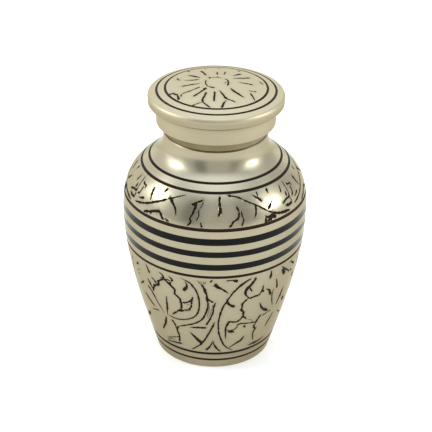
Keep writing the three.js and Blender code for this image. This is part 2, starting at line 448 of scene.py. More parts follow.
def smooth_path(points: np.ndarray, pitch: float) -> np.ndarray:
    """A smooth path through the points, with samples about a pitch apart.

    Args:
        points: two or more points of the plane.
        pitch: the distance between samples.

    Returns:
        The samples, which start and end on the first and last point.
    """
    if len(points) == 2:
        steps = max(3, math.ceil(float(np.linalg.norm(points[1] - points[0])) / pitch))
        return np.linspace(points[0], points[1], steps + 1)
    padded = np.vstack([2 * points[0] - points[1], points, 2 * points[-1] - points[-2]])
    samples = [points[0]]
    for i in range(1, len(padded) - 2):
        a, b, c, d = padded[i - 1 : i + 3]
        steps = max(2, math.ceil(float(np.linalg.norm(c - b)) / pitch))
        for t in np.linspace(0, 1, steps + 1)[1:]:
            curve = 2 * b + (c - a) * t + (2 * a - 5 * b + 4 * c - d) * t**2
            samples.append(0.5 * (curve + (3 * b - a - 3 * c + d) * t**3))
    return np.array(samples)


def taper(cut: Cut, t: np.ndarray) -> np.ndarray:
    """The share of a stroke's full width at each place along it, from 0 to 1.

    Args:
        cut: the kind of cut.
        t: places along the stroke, from 0 to 1.

    Returns:
        The share at each place.
    """
    if cut is Cut.SWELL:
        return np.sin(np.pi * t) ** 0.45
    if cut is Cut.WEDGE:
        return np.minimum(1.0, t / 0.1) ** 0.5 * (1 - t) ** 0.45
    if cut is Cut.CHIP:
        return np.minimum(1.0, t / 0.2) ** 0.5 * np.minimum(1.0, (1 - t) / 0.45) ** 0.6
    return np.minimum(1.0, np.minimum(t, 1 - t) / 0.1) ** 0.6


@dataclass
class Engraver:
    """Cuts strokes into a flat sheet: a triangulated plan with V-shaped valleys below its surface."""

    seed: int = 7
    slope: float = 0.85
    deepest: float = 0.34 * MM
    pitch: float = 0.42 * MM
    clearance: float = 0.16 * MM
    boldness: float = 1.3
    wobble: float = 0.03 * MM
    unevenness: float = 0.18
    overrun: tuple[float, float] = (0.25, 0.8)
    soot_reach: float = 0.5 * MM
    tracks: list[tuple[np.ndarray, np.ndarray]] = field(default_factory=list)
    hand: np.random.Generator = field(init=False)

    def __post_init__(self) -> None:
        """Seeds the unsteadiness of the hand."""
        self.hand = np.random.default_rng(self.seed)

    def add(self, points: np.ndarray, width: float, cut: Cut) -> None:
        """Adds a stroke whose points are in metres on the sheet.

        Args:
            points: the points that it passes through.
            width: its full width.
            cut: its kind.
        """
        if cut is Cut.CHIP:
            for start, end in zip(points[:-1], points[1:]):
                way = (end - start) / np.linalg.norm(end - start)
                before, after = width * self.hand.uniform(self.overrun[0], self.overrun[1], 2)
                self.track(np.array([start - way * before, end + way * after]), width, cut)
        else:
            self.track(points, width, cut)

    def track(self, points: np.ndarray, width: float, cut: Cut) -> None:
        """Adds one pull of the graver, with the unsteadiness of the hand.

        Args:
            points: the points that it passes through.
            width: its full width.
            cut: its kind.
        """
        path = smooth_path(points, self.pitch)
        path[1:-1] += self.hand.normal(0.0, self.wobble, path[1:-1].shape)
        steps = np.linalg.norm(np.diff(path, axis=0), axis=1)
        t = np.concatenate([[0.0], np.cumsum(steps)]) / steps.sum()
        half = self.boldness * width / 2 * taper(cut, t)
        half *= np.clip(self.hand.normal(1.0, self.unevenness, len(half)), 0.7, 1.35)
        half[0] = half[-1] = 0.0
        self.tracks.append((path, half))

    @staticmethod
    def near(points: np.ndarray, path: np.ndarray, reach: float) -> np.ndarray:
        """The numbers of the points that lie within reach of the box round a path."""
        low, high = path.min(axis=0) - reach, path.max(axis=0) + reach
        return np.nonzero(((points >= low) & (points <= high)).all(axis=1))[0]

    @staticmethod
    def lengths(
        points: np.ndarray, path: np.ndarray, half: np.ndarray
    ) -> Iterator[tuple[np.ndarray, np.ndarray, float]]:
        """Goes along a stroke, one short length after the other.

        Args:
            points: the points that the stroke is compared with.
            path: the stroke's middle line.
            half: its half width at each point of the path.

        Returns:
            For each length, every point's distance from it, the half width beside the point, and the
            length's mean half width.
        """
        for a, b, wa, wb in zip(path[:-1], path[1:], half[:-1], half[1:]):
            along = b - a
            t = np.clip((points - a) @ along / (along @ along), 0, 1)
            distance = np.linalg.norm(points - (a + t[:, None] * along), axis=1)
            yield distance, wa + (wb - wa) * t, (wa + wb) / 2

    def soot(self, points: np.ndarray) -> np.ndarray:
        """How much of the black wiped off the strokes is left at each point, 1 beside a stroke.

        Args:
            points: points on the sheet.

        Returns:
            The share that is left at each of them.
        """
        closest = np.full(len(points), 1.0)
        for path, half in self.tracks:
            near = self.near(points, path, 4 * self.soot_reach)
            for distance, _, mean in self.lengths(points[near], path, half):
                closest[near] = np.minimum(closest[near], distance - mean)
        return np.exp(-np.maximum(closest, 0.0) / self.soot_reach)

    def depth_and_fill(self, points: np.ndarray) -> tuple[np.ndarray, np.ndarray]:
        """The depth below the sheet at each point, and how near it is to a valley's middle (0 to 1).

        Args:
            points: points on the sheet.

        Returns:
            The depths, and the nearness.
        """
        depth = np.zeros(len(points))
        fill = np.zeros(len(points))
        for path, half in self.tracks:
            near = self.near(points, path, half.max())
            for distance, width, _ in self.lengths(points[near], path, half):
                inside = np.maximum(width - distance, 0.0)
                share = inside / np.maximum(width, 1e-9)
                full = np.minimum(width * self.slope, self.deepest)
                depth[near] = np.maximum(depth[near], full * share)
                fill[near] = np.maximum(fill[near], share)
        return depth, fill

    def clear_of_strokes(self, points: np.ndarray) -> np.ndarray:
        """Which points keep their distance from every stroke.

        Args:
            points: points on the sheet.

        Returns:
            True for each point that is clear.
        """
        free = np.ones(len(points), dtype=bool)
        for path, half in self.tracks:
            near = self.near(points, path, half.max() + self.clearance)
            for distance, width, _ in self.lengths(points[near], path, half):
                free[near] &= distance > width + self.clearance
        return free

    @staticmethod
    def on_border(points: np.ndarray, border: np.ndarray) -> np.ndarray:
        """Which points are the border's own, so that the sheet still meets its neighbours.

        Args:
            points: points on the sheet.
            border: the points of the sheet's edge.

        Returns:
            True for each point that lies on one of the border's.
        """
        tree = KDTree(len(border))
        for i, (x, y) in enumerate(border):
            tree.insert((x, y, 0.0), i)
        tree.balance()
        return np.array([tree.find((x, y, 0.0))[2] < WELD for x, y in points])

    def held_inside(self, points: np.ndarray, border: np.ndarray) -> np.ndarray:
        """The points, with any that lie outside the border or too near to it moved straight in.

        Args:
            points: points on the sheet.
            border: the points of the sheet's convex edge, in order.

        Returns:
            The points, in the same order.
        """
        along = np.roll(border, -1, axis=0) - border
        along /= np.linalg.norm(along, axis=1)[:, None]
        inward = np.stack([-along[:, 1], along[:, 0]], axis=1)
        held = points.copy()
        for _ in range(2):
            inside = held @ inward.T - (border * inward).sum(axis=1)
            side = inside.argmin(axis=1)
            lack = np.maximum(self.clearance - inside[np.arange(len(held)), side], 0.0)
            held += lack[:, None] * inward[side]
        return held

    def cut_sheet(self, border: np.ndarray, inner: np.ndarray) -> "Shell":
        """Triangulates the sheet round its strokes.

        Args:
            border: the points of the sheet's closed, convex edge, in order.
            inner: further points that carry the sheet's curvature.

        Returns:
            The sheet as a shell whose z is minus the depth.
        """
        inner = inner[self.clear_of_strokes(inner)]
        points = [*border, *inner]
        edges = [(i, (i + 1) % len(border)) for i in range(len(border))]
        for path, half in self.tracks:
            tangent = np.gradient(path, axis=0)
            tangent /= np.linalg.norm(tangent, axis=1)[:, None]
            side = np.stack([-tangent[:, 1], tangent[:, 0]], axis=1)
            first = len(points)
            points.extend(self.held_inside(path, border))
            count = len(path)
            valley = list(range(first, first + count))
            edges.extend(zip(valley[:-1], valley[1:]))
            for sign in (1, -1):
                start = len(points)
                points.extend(self.held_inside(path + sign * side * half[:, None], border)[1:-1])
                chain = [valley[0], *range(start, start + count - 2), valley[-1]]
                edges.extend(zip(chain[:-1], chain[1:]))
        scale = 1 / MM
        coordinates = [Vector((float(p[0]) * scale, float(p[1]) * scale)) for p in points]
        made, _, faces, *_ = delaunay_2d_cdt(coordinates, edges, [], 0, 1e-4, False)
        flat = np.array([(v.x, v.y) for v in made]) / scale
        depth, fill = self.depth_and_fill(flat)
        depth[self.on_border(flat, border)] = 0.0
        vertices = np.column_stack([flat, -depth])
        faces = [tuple(face) for face in faces]
        return Shell(vertices, faces, patina=fill, soot=self.soot(flat), run=flat[:, 1].copy())


@dataclass
class Shell:
    """Vertices and faces with the values that the finishes read."""

    vertices: np.ndarray
    faces: list[tuple[int, ...]]
    patina: np.ndarray | None = None
    enamel: np.ndarray | None = None
    soot: np.ndarray | None = None
    run: np.ndarray | None = None

    def value(self, name: str) -> np.ndarray:
        """A value for every vertex, zero where none is kept."""
        kept = getattr(self, name)
        return np.zeros(len(self.vertices)) if kept is None else kept

    def to_mesh(self, name: str) -> bpy.types.Mesh:
        """A mesh with the values as point attributes.

        Args:
            name: the mesh's name.

        Returns:
            The new mesh.
        """
        mesh = bpy.data.meshes.new(name)
        mesh.from_pydata([tuple(map(float, v)) for v in self.vertices], [], self.faces)
        for value in VALUES:
            layer = mesh.attributes.new(value, "FLOAT", "POINT")
            layer.data.foreach_set("value", self.value(value).astype(np.float32))
        return mesh

    @staticmethod
    def of_mesh(mesh: bpy.types.Mesh) -> "Shell":
        """The shell of a mesh that carries the values.

        Args:
            mesh: the mesh that is read.

        Returns:
            Its vertices, faces and values, zero where it has none.
        """
        flat = np.empty(len(mesh.vertices) * 3, dtype=np.float32)
        mesh.vertices.foreach_get("co", flat)
        values = {}
        for value in VALUES:
            layer = np.zeros(len(mesh.vertices), dtype=np.float32)
            if value in mesh.attributes:
                mesh.attributes[value].data.foreach_get("value", layer)
            values[value] = layer.astype(float)
        faces = [tuple(p.vertices) for p in mesh.polygons]
        return Shell(flat.reshape(-1, 3).astype(float), faces, **values)


def joined(shells: list[Shell]) -> Shell:
    """One shell made of several, not yet welded.

    Args:
        shells: the shells, in order.

    Returns:
        The joined shell.
    """
    faces = []
    start = 0
    for shell in shells:
        faces.extend(tuple(i + start for i in face) for face in shell.faces)
        start += len(shell.vertices)
    values = {name: np.concatenate([s.value(name) for s in shells]) for name in VALUES}
    return Shell(np.vstack([s.vertices for s in shells]), faces, **values)


class ShellTree:
    """Geometry Nodes with named inputs that turn a mesh into a shell with its finish set."""

    title: str
    inputs: dict[str, str]

    def __init__(self) -> None:
        """Makes the tree with its named inputs, and its nodes."""
        self.tree = bpy.data.node_groups.new(self.title, "GeometryNodeTree")
        sockets = self.tree.interface
        kinds = {"Start": "NodeSocketGeometry", **self.inputs, "Finish": "NodeSocketMaterial"}
        self.keys = {
            name: sockets.new_socket(name, in_out="INPUT", socket_type=kind).identifier
            for name, kind in kinds.items()
        }
        sockets.new_socket("Shell", in_out="OUTPUT", socket_type="NodeSocketGeometry")
        bench = Bench(self.tree)
        entry = self.tree.nodes.new("NodeGroupInput")
        given = {socket.name: Wire(bench, socket) for socket in entry.outputs if socket.name}
        whole = bench.node("GeometryNodeRealizeInstances", [self.shape(bench, given)])
        done = bench.node("GeometryNodeSetMaterial", {"Geometry": whole, "Material": given["Finish"]})
        bench.end("NodeGroupOutput", done)

    def shape(self, bench: Bench, given: dict[str, Wire]) -> Wire:
        """Makes the nodes that shape the shell; each kind of tree has its own.

        Args:
            bench: the bench that makes the nodes.
            given: the tree's inputs by name.

        Returns:
            The wire of the shaped geometry.
        """
        raise NotImplementedError

    def run(self, mesh: bpy.types.Mesh, inputs: dict[str, object]) -> Shell:
        """Runs the tree on a mesh and reads the plain result back.

        Args:
            mesh: the mesh that goes into the tree.
            inputs: values for the tree's other inputs by name.

        Returns:
            The shell that comes out.
        """
        holder = linked("holder", mesh)
        modifier = holder.modifiers.new("tree", "NODES")
        modifier.node_group = self.tree
        for name, value in inputs.items():
            modifier[self.keys[name]] = value
        depsgraph = bpy.context.evaluated_depsgraph_get()
        depsgraph.update()
        result = bpy.data.meshes.new_from_object(holder.evaluated_get(depsgraph), depsgraph=depsgraph)
        shell = Shell.of_mesh(result)
        bpy.data.objects.remove(holder)
        bpy.data.meshes.remove(result)
        return shell


class TurnedShellTree(ShellTree):
    """Spins a profile of edges round Z, carrying the profile's values with it."""

    title = "turned_shell"
    inputs = {"Columns": "NodeSocketInt"}

    def shape(self, bench: Bench, given: dict[str, Wire]) -> Wire:
        """Sweeps the profile round a circle and sets each point to its own radius and height.

        Args:
            bench: the bench that makes the nodes.
            given: the tree's inputs by name.

        Returns:
            The wire of the swept geometry.
        """
        curve = bench.node("GeometryNodeMeshToCurve", [given["Start"]])
        sizes = {"Resolution": given["Columns"], "Radius": 1.0}
        circle = bench.node("GeometryNodeCurvePrimitiveCircle", sizes, mode="RADIUS")
        swept = bench.node("GeometryNodeCurveToMesh", {"Curve": circle, "Profile Curve": curve})
        across, back, _ = bench.parts(bench.node("GeometryNodeInputPosition"))
        angle = bench.math("ARCTAN2", back, across)
        radius, height = (
            bench.node("GeometryNodeInputNamedAttribute", {"Name": name}, data_type="FLOAT")
            for name in ("turned_r", "turned_z")
        )
        x = radius * bench.math("COSINE", angle)
        y = radius * bench.math("SINE", angle)
        turned = bench.node("ShaderNodeCombineXYZ", [x, y, height])
        return bench.node("GeometryNodeSetPosition", {"Geometry": swept, "Position": turned})

    def spin(self, strips: list[list[ProfilePoint]], start: list[float], finish: bpy.types.Material) -> Shell:
        """Spins strips of profile.

        Args:
            strips: the profile in one or more open strips.
            start: the length already run along the whole profile where each strip begins.
            finish: the material that the tree sets.

        Returns:
            The spun surface, open where the strips end.
        """
        vertices, edges, rows = [], [], []
        for strip, begun in zip(strips, start):
            length = begun
            for i, point in enumerate(strip):
                if i:
                    length += math.hypot(point.r - strip[i - 1].r, point.z - strip[i - 1].z)
                    edges.append((len(vertices) - 1, len(vertices)))
                vertices.append((point.r, point.z, 0.0))
                rows.append((point.r, point.z, point.patina, point.enamel, point.soot, length))
        mesh = bpy.data.meshes.new("profile")
        mesh.from_pydata(vertices, edges, [])
        values = np.array(rows, dtype=np.float32)
        for column, name in enumerate(("turned_r", "turned_z", *VALUES)):
            layer = mesh.attributes.new(name, "FLOAT", "POINT")
            layer.data.foreach_set("value", np.ascontiguousarray(values[:, column]))
        return self.run(mesh, {"Columns": COLUMNS, "Finish": finish})


class WrappedBandTree(ShellTree):
    """Wraps a flat engraved sheet on the outline and repeats it round the urn.

    The sheet's x is the angle from the front in radians, its y the length up the outline and its z the
    depth, below zero.
    """

    title = "wrapped_band"
    inputs = {"Outline": "NodeSocketObject", "Repeats": "NodeSocketInt"}

    def shape(self, bench: Bench, given: dict[str, Wire]) -> Wire:
        """Sets each point of the sheet on the wall, and turns copies of it round the axis.

        Args:
            bench: the bench that makes the nodes.
            given: the tree's inputs by name.

        Returns:
            The wire of the copies.
        """
        info = bench.node("GeometryNodeObjectInfo", [given["Outline"]], output="Geometry")
        curve = bench.node("GeometryNodeMeshToCurve", [info])
        angle, up, out = bench.parts(bench.node("GeometryNodeInputPosition"))
        where = {"Curves": curve, "Length": up}
        sample = bench.node("GeometryNodeSampleCurve", where, output="Position", mode="LENGTH")
        tangent = Wire(bench, sample.socket.node.outputs["Tangent"])
        wall_r, _, wall_z = bench.parts(sample)
        tangent_r, _, tangent_z = bench.parts(tangent)
        radius = wall_r + tangent_z * out
        height = wall_z - tangent_r * out
        x = radius * bench.math("SINE", angle)
        y = 0 - radius * bench.math("COSINE", angle)
        wrapped = bench.node("ShaderNodeCombineXYZ", [x, y, height])
        placed = bench.node("GeometryNodeSetPosition", {"Geometry": given["Start"], "Position": wrapped})
        row = {"Count": given["Repeats"], "Offset": (0.0, 0.0, 0.0)}
        points = bench.node("GeometryNodeMeshLine", row)
        turn = bench.node("GeometryNodeInputIndex") * (2 * math.pi) / given["Repeats"]
        turned = bench.node("ShaderNodeCombineXYZ", [0.0, 0.0, turn])
        copies = {"Points": points, "Instance": placed, "Rotation": turned}
        return bench.node("GeometryNodeInstanceOnPoints", copies)

    def wrap(self, sheet: Shell, wall: list[Point2], repeats: int, finish: bpy.types.Material) -> Shell:
        """Wraps a sheet on a stretch of wall, given as points (r, z), and repeats it round the urn.

        Args:
            sheet: the engraved sheet.
            wall: the wall's points (r, z), from below upwards.
            repeats: how many times the sheet goes round.
            finish: the material that the tree sets.

        Returns:
            The engraved band, open at its lower and upper edge.
        """
        mesh = bpy.data.meshes.new("wall")
        mesh.from_pydata([(r, 0.0, z) for r, z in wall], [(i, i + 1) for i in range(len(wall) - 1)], [])
        carrier = linked("wall", mesh)
        inputs = {"Outline": carrier, "Repeats": repeats, "Finish": finish}
        made = self.run(sheet.to_mesh("sheet"), inputs)
        bpy.data.objects.remove(carrier)
        return made


def finished_piece(
    name: str, shell: Shell, finish: bpy.types.Material, sharp: float = 28.0
) -> bpy.types.Object:
    """Welds a shell into a closed piece with sharp edges marked and a bake map, and links it.

    Args:
        name: the piece's name.
        shell: its surface, closed once its seams are welded.
        finish: its material.
        sharp: edges that turn by more than this many degrees stay sharp.

    Returns:
        The linked object, at the origin.
    """
    mesh = shell.to_mesh(name)
    work = bmesh.new()
    work.from_mesh(mesh)
    bmesh.ops.remove_doubles(work, verts=work.verts, dist=WELD)
    bmesh.ops.dissolve_degenerate(work, dist=WELD / 4, edges=work.edges)
    bmesh.ops.recalc_face_normals(work, faces=work.faces)
    open_edges = sum(1 for edge in work.edges if len(edge.link_faces) != 2)
    work.to_mesh(mesh)
    work.free()
    for polygon in mesh.polygons:
        polygon.use_smooth = True
    mesh.set_sharp_from_angle(angle=math.radians(sharp))
    bake_map(mesh)
    mesh.materials.append(finish)
    piece = linked(name, mesh)
    LOG.info("%s: %d faces, %d open edges", name, len(mesh.polygons), open_edges)
    return piece


def bake_map(mesh: bpy.types.Mesh) -> None:
    """Unrolls a turned piece: angle across, length along the whole profile up, seam at the back.

    Args:
        mesh: the piece's mesh, which carries the length run so far on its points.
    """
    count = len(mesh.vertices)
    place = np.empty(count * 3, dtype=np.float32)
    mesh.vertices.foreach_get("co", place)
    place = place.reshape(-1, 3)
    run = np.empty(count, dtype=np.float32)
    mesh.attributes["run"].data.foreach_get("value", run)
    run = run / run.max()
    angle = np.arctan2(place[:, 0], -place[:, 1])
    on_axis = np.hypot(place[:, 0], place[:, 1]) < 0.01 * MM
    layer = mesh.uv_layers.new(name="OFBake")
    margin = 0.01
    used = 1 - 2 * margin
    span = 2 * math.pi + 0.1
    for polygon in mesh.polygons:
        ids = list(polygon.vertices)
        turns = [float(angle[i]) for i in ids]
        kept = [t for t, i in zip(turns, ids) if not on_axis[i]]
        if max(kept) - min(kept) > math.pi:
            turns = [t + 2 * math.pi if t < 0 else t for t in turns]
            kept = [t for t, i in zip(turns, ids) if not on_axis[i]]
        middle = sum(kept) / len(kept)
        for loop, i, turn in zip(polygon.loop_indices, ids, turns):
            u = ((middle if on_axis[i] else turn) + math.pi) / span
            layer.data[loop].uv = (margin + used * u, margin + used * float(run[i]))


@dataclass(frozen=True)
class PewterFinish:
    """Warm pewter plating over brass, brushed round the turning axis, with black in every cut, darkened by
    soot beside the cuts and by painted shade.
    """

    name: str
    metal: tuple[float, float, float] = (0.36, 0.318, 0.215)
    roughness: float = 0.22
    brushing: float = 0.5
    black: tuple[float, float, float] = (0.006, 0.0065, 0.0055)
    soiled: tuple[float, float, float] = (0.017, 0.011, 0.006)
    # How much each channel loses where soot and painted shade darken the metal.
    smear_loss: tuple[float, float, float] = (1.0, 1.08, 1.25)
    streak_scale: tuple[float, float, float] = (60.0, 60.0, 4200.0)
    cloud_scale: float = 70.0
    grit_scale: float = 2600.0
    cut_roughness: float = 0.55
    enamel_roughness: float = 0.16
    bump: float = 0.16
    bump_height: float = 0.00006

    def build(self) -> bpy.types.Material:
        """Makes the material.

        Returns:
            The material, its changes of colour and roughness fed by the shell's values and by noise.
        """
        material = bpy.data.materials.new(self.name)
        material.use_nodes = True
        tree = material.node_tree
        tree.nodes.clear()
        bench = Bench(tree)
        place = bench.node("ShaderNodeTexCoord", output="Object")
        patina, soot, enamel = (
            bench.node("ShaderNodeAttribute", attribute_name=name, output="Fac")
            for name in ("patina", "soot", "enamel")
        )
        along = bench.node("ShaderNodeMapping", {"Vector": place, "Scale": self.streak_scale})
        streaks = self.noise(bench, along, 1.0, 3.0, 0.6)
        cloud = self.noise(bench, place, self.cloud_scale, 4.0)
        grit = self.noise(bench, place, self.grit_scale, 2.0)
        # Painted shade on the foot, under the lid's flange and in the recess at the rim, and soot beside the
        # cuts, darken and brown the metal here.
        soot_and_shade_dimming = soot * (0.02 + 0.18 * cloud)
        tone = 0.86 + 0.16 * cloud + 0.10 * streaks + 0.05 * grit
        tones = bench.node("ShaderNodeCombineColor", [tone * (1 - loss * soot_and_shade_dimming) for loss in self.smear_loss])
        lit = bench.mix(1.0, self.metal, tones, blend="MULTIPLY")
        cut = bench.share(patina, 0.02, 0.22, soft=True)
        inlay = bench.share(enamel, 0.25, 0.6)
        dark = bench.math("MAXIMUM", cut, inlay)
        colour = bench.mix(dark, lit, bench.mix(inlay, self.soiled, self.black))
        metal_rough = self.roughness + 0.12 * (cloud - 0.5) + 0.22 * self.brushing * (streaks - 0.5)
        filled_rough = self.cut_roughness * cut * (1 - inlay)
        rough = metal_rough * (1 - dark) + filled_rough + self.enamel_roughness * inlay
        relief = (streaks * (0.5 * self.brushing) + grit * 0.3) * (1 - dark)
        bump = {"Strength": self.bump, "Distance": self.bump_height, "Height": relief}
        surface = {
            "Base Color": colour,
            "Metallic": 1 - dark,
            "Roughness": rough,
            "Normal": bench.node("ShaderNodeBump", bump),
            "IOR": 1.2,
            "Specular Tint": (0.72, 0.68, 0.58, 1.0),
        }
        bench.end("ShaderNodeOutputMaterial", bench.node("ShaderNodeBsdfPrincipled", surface))
        return material

    @staticmethod
    def noise(bench: Bench, place: Wire, scale: float, detail: float, roughness: float = 0.5) -> Wire:
        """A noise pattern on a place."""
        inputs = {"Vector": place, "Scale": scale, "Detail": detail, "Roughness": roughness}
        return bench.node("ShaderNodeTexNoise", inputs)


@dataclass
class BandPattern:
    """The engraver's drawing of one band: strokes in degrees and grid units, and where the band begins."""

    strokes: list[Stroke]
    low_angle: float
    repeats: int
    base: float = 0.0
    row_pitch: float = 0.62 * MM

    def sheet(self, length: float, mean_radius: float) -> Shell:
        """Cuts the drawing into a flat sheet as long as the band is, and gives its x as an angle.

        Args:
            length: the band's length along the wall.
            mean_radius: the radius at which angles are laid out.

        Returns:
            The sheet, its x in radians from the front.
        """
        engraver = Engraver()
        scale = math.radians(1) * mean_radius
        for stroke in self.strokes:
            points = np.array([(a * scale, (s - self.base) * GRID) for a, s in stroke.points])
            engraver.add(points, stroke.width * GRID, stroke.cut)
        columns = round(COLUMNS / self.repeats)
        left = self.low_angle * scale
        right = left + 360 / self.repeats * scale
        rows = math.ceil(length / self.row_pitch)
        x = np.linspace(left, right, columns + 1)
        y = np.linspace(0, length, rows + 1)
        border = [(value, 0.0) for value in x[:-1]] + [(right, value) for value in y[:-1]]
        border += [(value, length) for value in x[:0:-1]] + [(left, value) for value in y[:0:-1]]
        inner = np.array([(a, b) for b in y[1:-1] for a in x[1:-1]])
        sheet = engraver.cut_sheet(np.array(border), inner)
        sheet.vertices[:, 0] /= mean_radius
        return sheet


def leaf_left() -> list[Stroke]:
    """The leaf left of the middle line, with the pair of stems that curl in beneath it."""
    return [
        line(1.7, (-21.1, 113), (-16, 109.3), (-13.5, 105), (-11.2, 98.5), (-9.7, 88), (-9.5, 77),
             (-10.6, 66.5), (-13.2, 58.8), (-17.5, 53.6), (-23, 50), (-28, 48.8), (-36, 50.8)),
        line(1.8, (-3.7, 86), (-3.7, 78), (-4.4, 69.7), (-6.2, 61), (-8.5, 54.3), (-12.4, 49), (-18, 44),
             (-25, 38.8), (-28, 36)),
        chip(2.3, (-7.3, 107), (-6.1, 103), (-5.2, 97.9), (-4.2, 92), (-4.3, 87.6), (-3.7, 83)),
        chip(2.2, (-4.2, 88.5), (-2.6, 86), (-0.4, 82.8)),
        line(1.8, (0.1, 78), (-0.1, 68), (-1.7, 59), (-3.6, 51.5), (-5.4, 45.6)),
        wedge(2.4, (0.2, 76), (1.0, 80), (1.9, 83.3)),
        line(0.6, (-2.6, 78), (-3.0, 69), (-4.4, 59)),
        line(0.5, (-1.2, 74), (-1.8, 66), (-3.2, 58)),
        line(0.7, (-10.4, 113.2), (-7.5, 107.4)),
        line(0.5, (-8.6, 113), (-7.0, 108.4)),
        line(0.5, (-6.4, 113.2), (-6.4, 108.6)),
        line(0.7, (-4.6, 113), (-6.2, 107.6)),
        wedge(2.0, (-2.2, 111.2), (-1.5, 113.4), (-0.6, 115.6)),
        wedge(3.3, (-19.9, 96.6), (-18.3, 99), (-17.2, 103), (-17.8, 108.6)),
        swell(2.4, (-20.4, 97.4), (-18.6, 95.4)),
        chip(2.4, (-34.1, 105.2), (-31.6, 102.3), (-29.3, 99.2), (-26.4, 95), (-26.2, 90.6), (-26.6, 87.9),
             (-24.9, 85.6), (-22.9, 82), (-22.5, 77), (-22.1, 71.5), (-23.3, 65.5), (-26.5, 61), (-31, 54.2)),
        swell(2.6, (-28, 103.8), (-29.2, 101.2), (-30.8, 98.6)),
        swell(2.8, (-24.2, 62.4), (-22.6, 64.6), (-20.8, 65.6)),
        chip(1.9, (-23.4, 63.6), (-19.9, 66.4), (-17.1, 68.4), (-15.5, 72), (-14.9, 77), (-14.7, 82)),
        wedge(2.6, (-14.9, 81), (-14.3, 84.6), (-13.5, 89.6)),
        chip(1.8, (-20.9, 77.4), (-18.6, 78.4), (-17, 79.8), (-15.6, 82.2), (-14.4, 85)),
        line(0.6, (-20.5, 64.3), (-17.5, 66.4), (-15.2, 67.8)),
        line(0.6, (-18.6, 75.6), (-15.6, 76.6)),
        chip(2.4, (-34.6, 103.2), (-37.1, 100.2), (-38.8, 97.9), (-38.7, 94.3), (-39.9, 91.1), (-42.7, 89.6),
             (-44.2, 85), (-45.9, 78.4)),
        chip(1.8, (-36.6, 111.6), (-34.4, 109.6), (-33.8, 107.4), (-33.9, 104.6)),
        chip(1.7, (-36.2, 105.2), (-31.6, 105.4), (-28, 104.6), (-26.9, 107.2), (-29, 110.4)),
        wedge(2.9, (-40.8, 94), (-42.6, 96.8), (-44.8, 99.6)),
        wedge(2.8, (-45.9, 102.6), (-47.2, 108), (-48.6, 114.4)),
        swell(2.4, (-49.2, 94), (-47.4, 87.5), (-45.2, 80.8)),
        wedge(2.5, (-51.2, 82.6), (-47.2, 76.5), (-44.6, 67.5), (-41, 57), (-38.6, 49.6)),
        swell(2.0, (-33.2, 80.8), (-33.9, 74), (-34.4, 65), (-35.2, 57), (-35.8, 49.8)),
        swell(3.6, (-58, 66.4), (-54, 61), (-47.8, 52.4)),
        line(1.3, (-52.9, 45.4), (-49, 48.1), (-43.8, 50.8)),
        swell(2.7, (-37.4, 46.6), (-38.9, 39.6), (-41, 32), (-45.9, 20)),
        chip(2.3, (-32.4, 43.8), (-31, 39.4), (-29.7, 33.6), (-29.4, 27.6), (-28.4, 20), (-29, 15),
             (-30, 9.8)),
        chip(2.2, (-27.9, 36), (-29.2, 31), (-29.8, 25.4)),
        chip(1.5, (-28.4, 20), (-32, 16.2), (-36, 14), (-42.4, 8.8)),
        line(0.9, (-34, 11), (-38.5, 9.2), (-43.5, 6)),
        wedge(3.0, (-27.6, 7.8), (-32, 6.4), (-38, 4.8), (-45, 2.2)),
        wedge(2.9, (-4.8, 42.3), (-10.4, 41.6), (-18.2, 39.6)),
        wedge(4.1, (-9.4, 15.8), (-12.6, 21), (-18.2, 31.8)),
        line(2.0, (1.2, 52.8), (0, 46), (-1.7, 38.6), (-4.2, 29.4), (-7, 20.4), (-10.4, 12.8), (-14.4, 7),
             (-19, 1.4)),
        wedge(2.9, (-6.4, 3.2), (-3.6, 7.8), (-1.7, 13), (0.1, 21)),
        wedge(2.7, (4.6, 4.6), (2.4, 9.4), (1.0, 14), (0.1, 21)),
        line(1.8, (3.8, 5.6), (7, 1.3)),
    ]


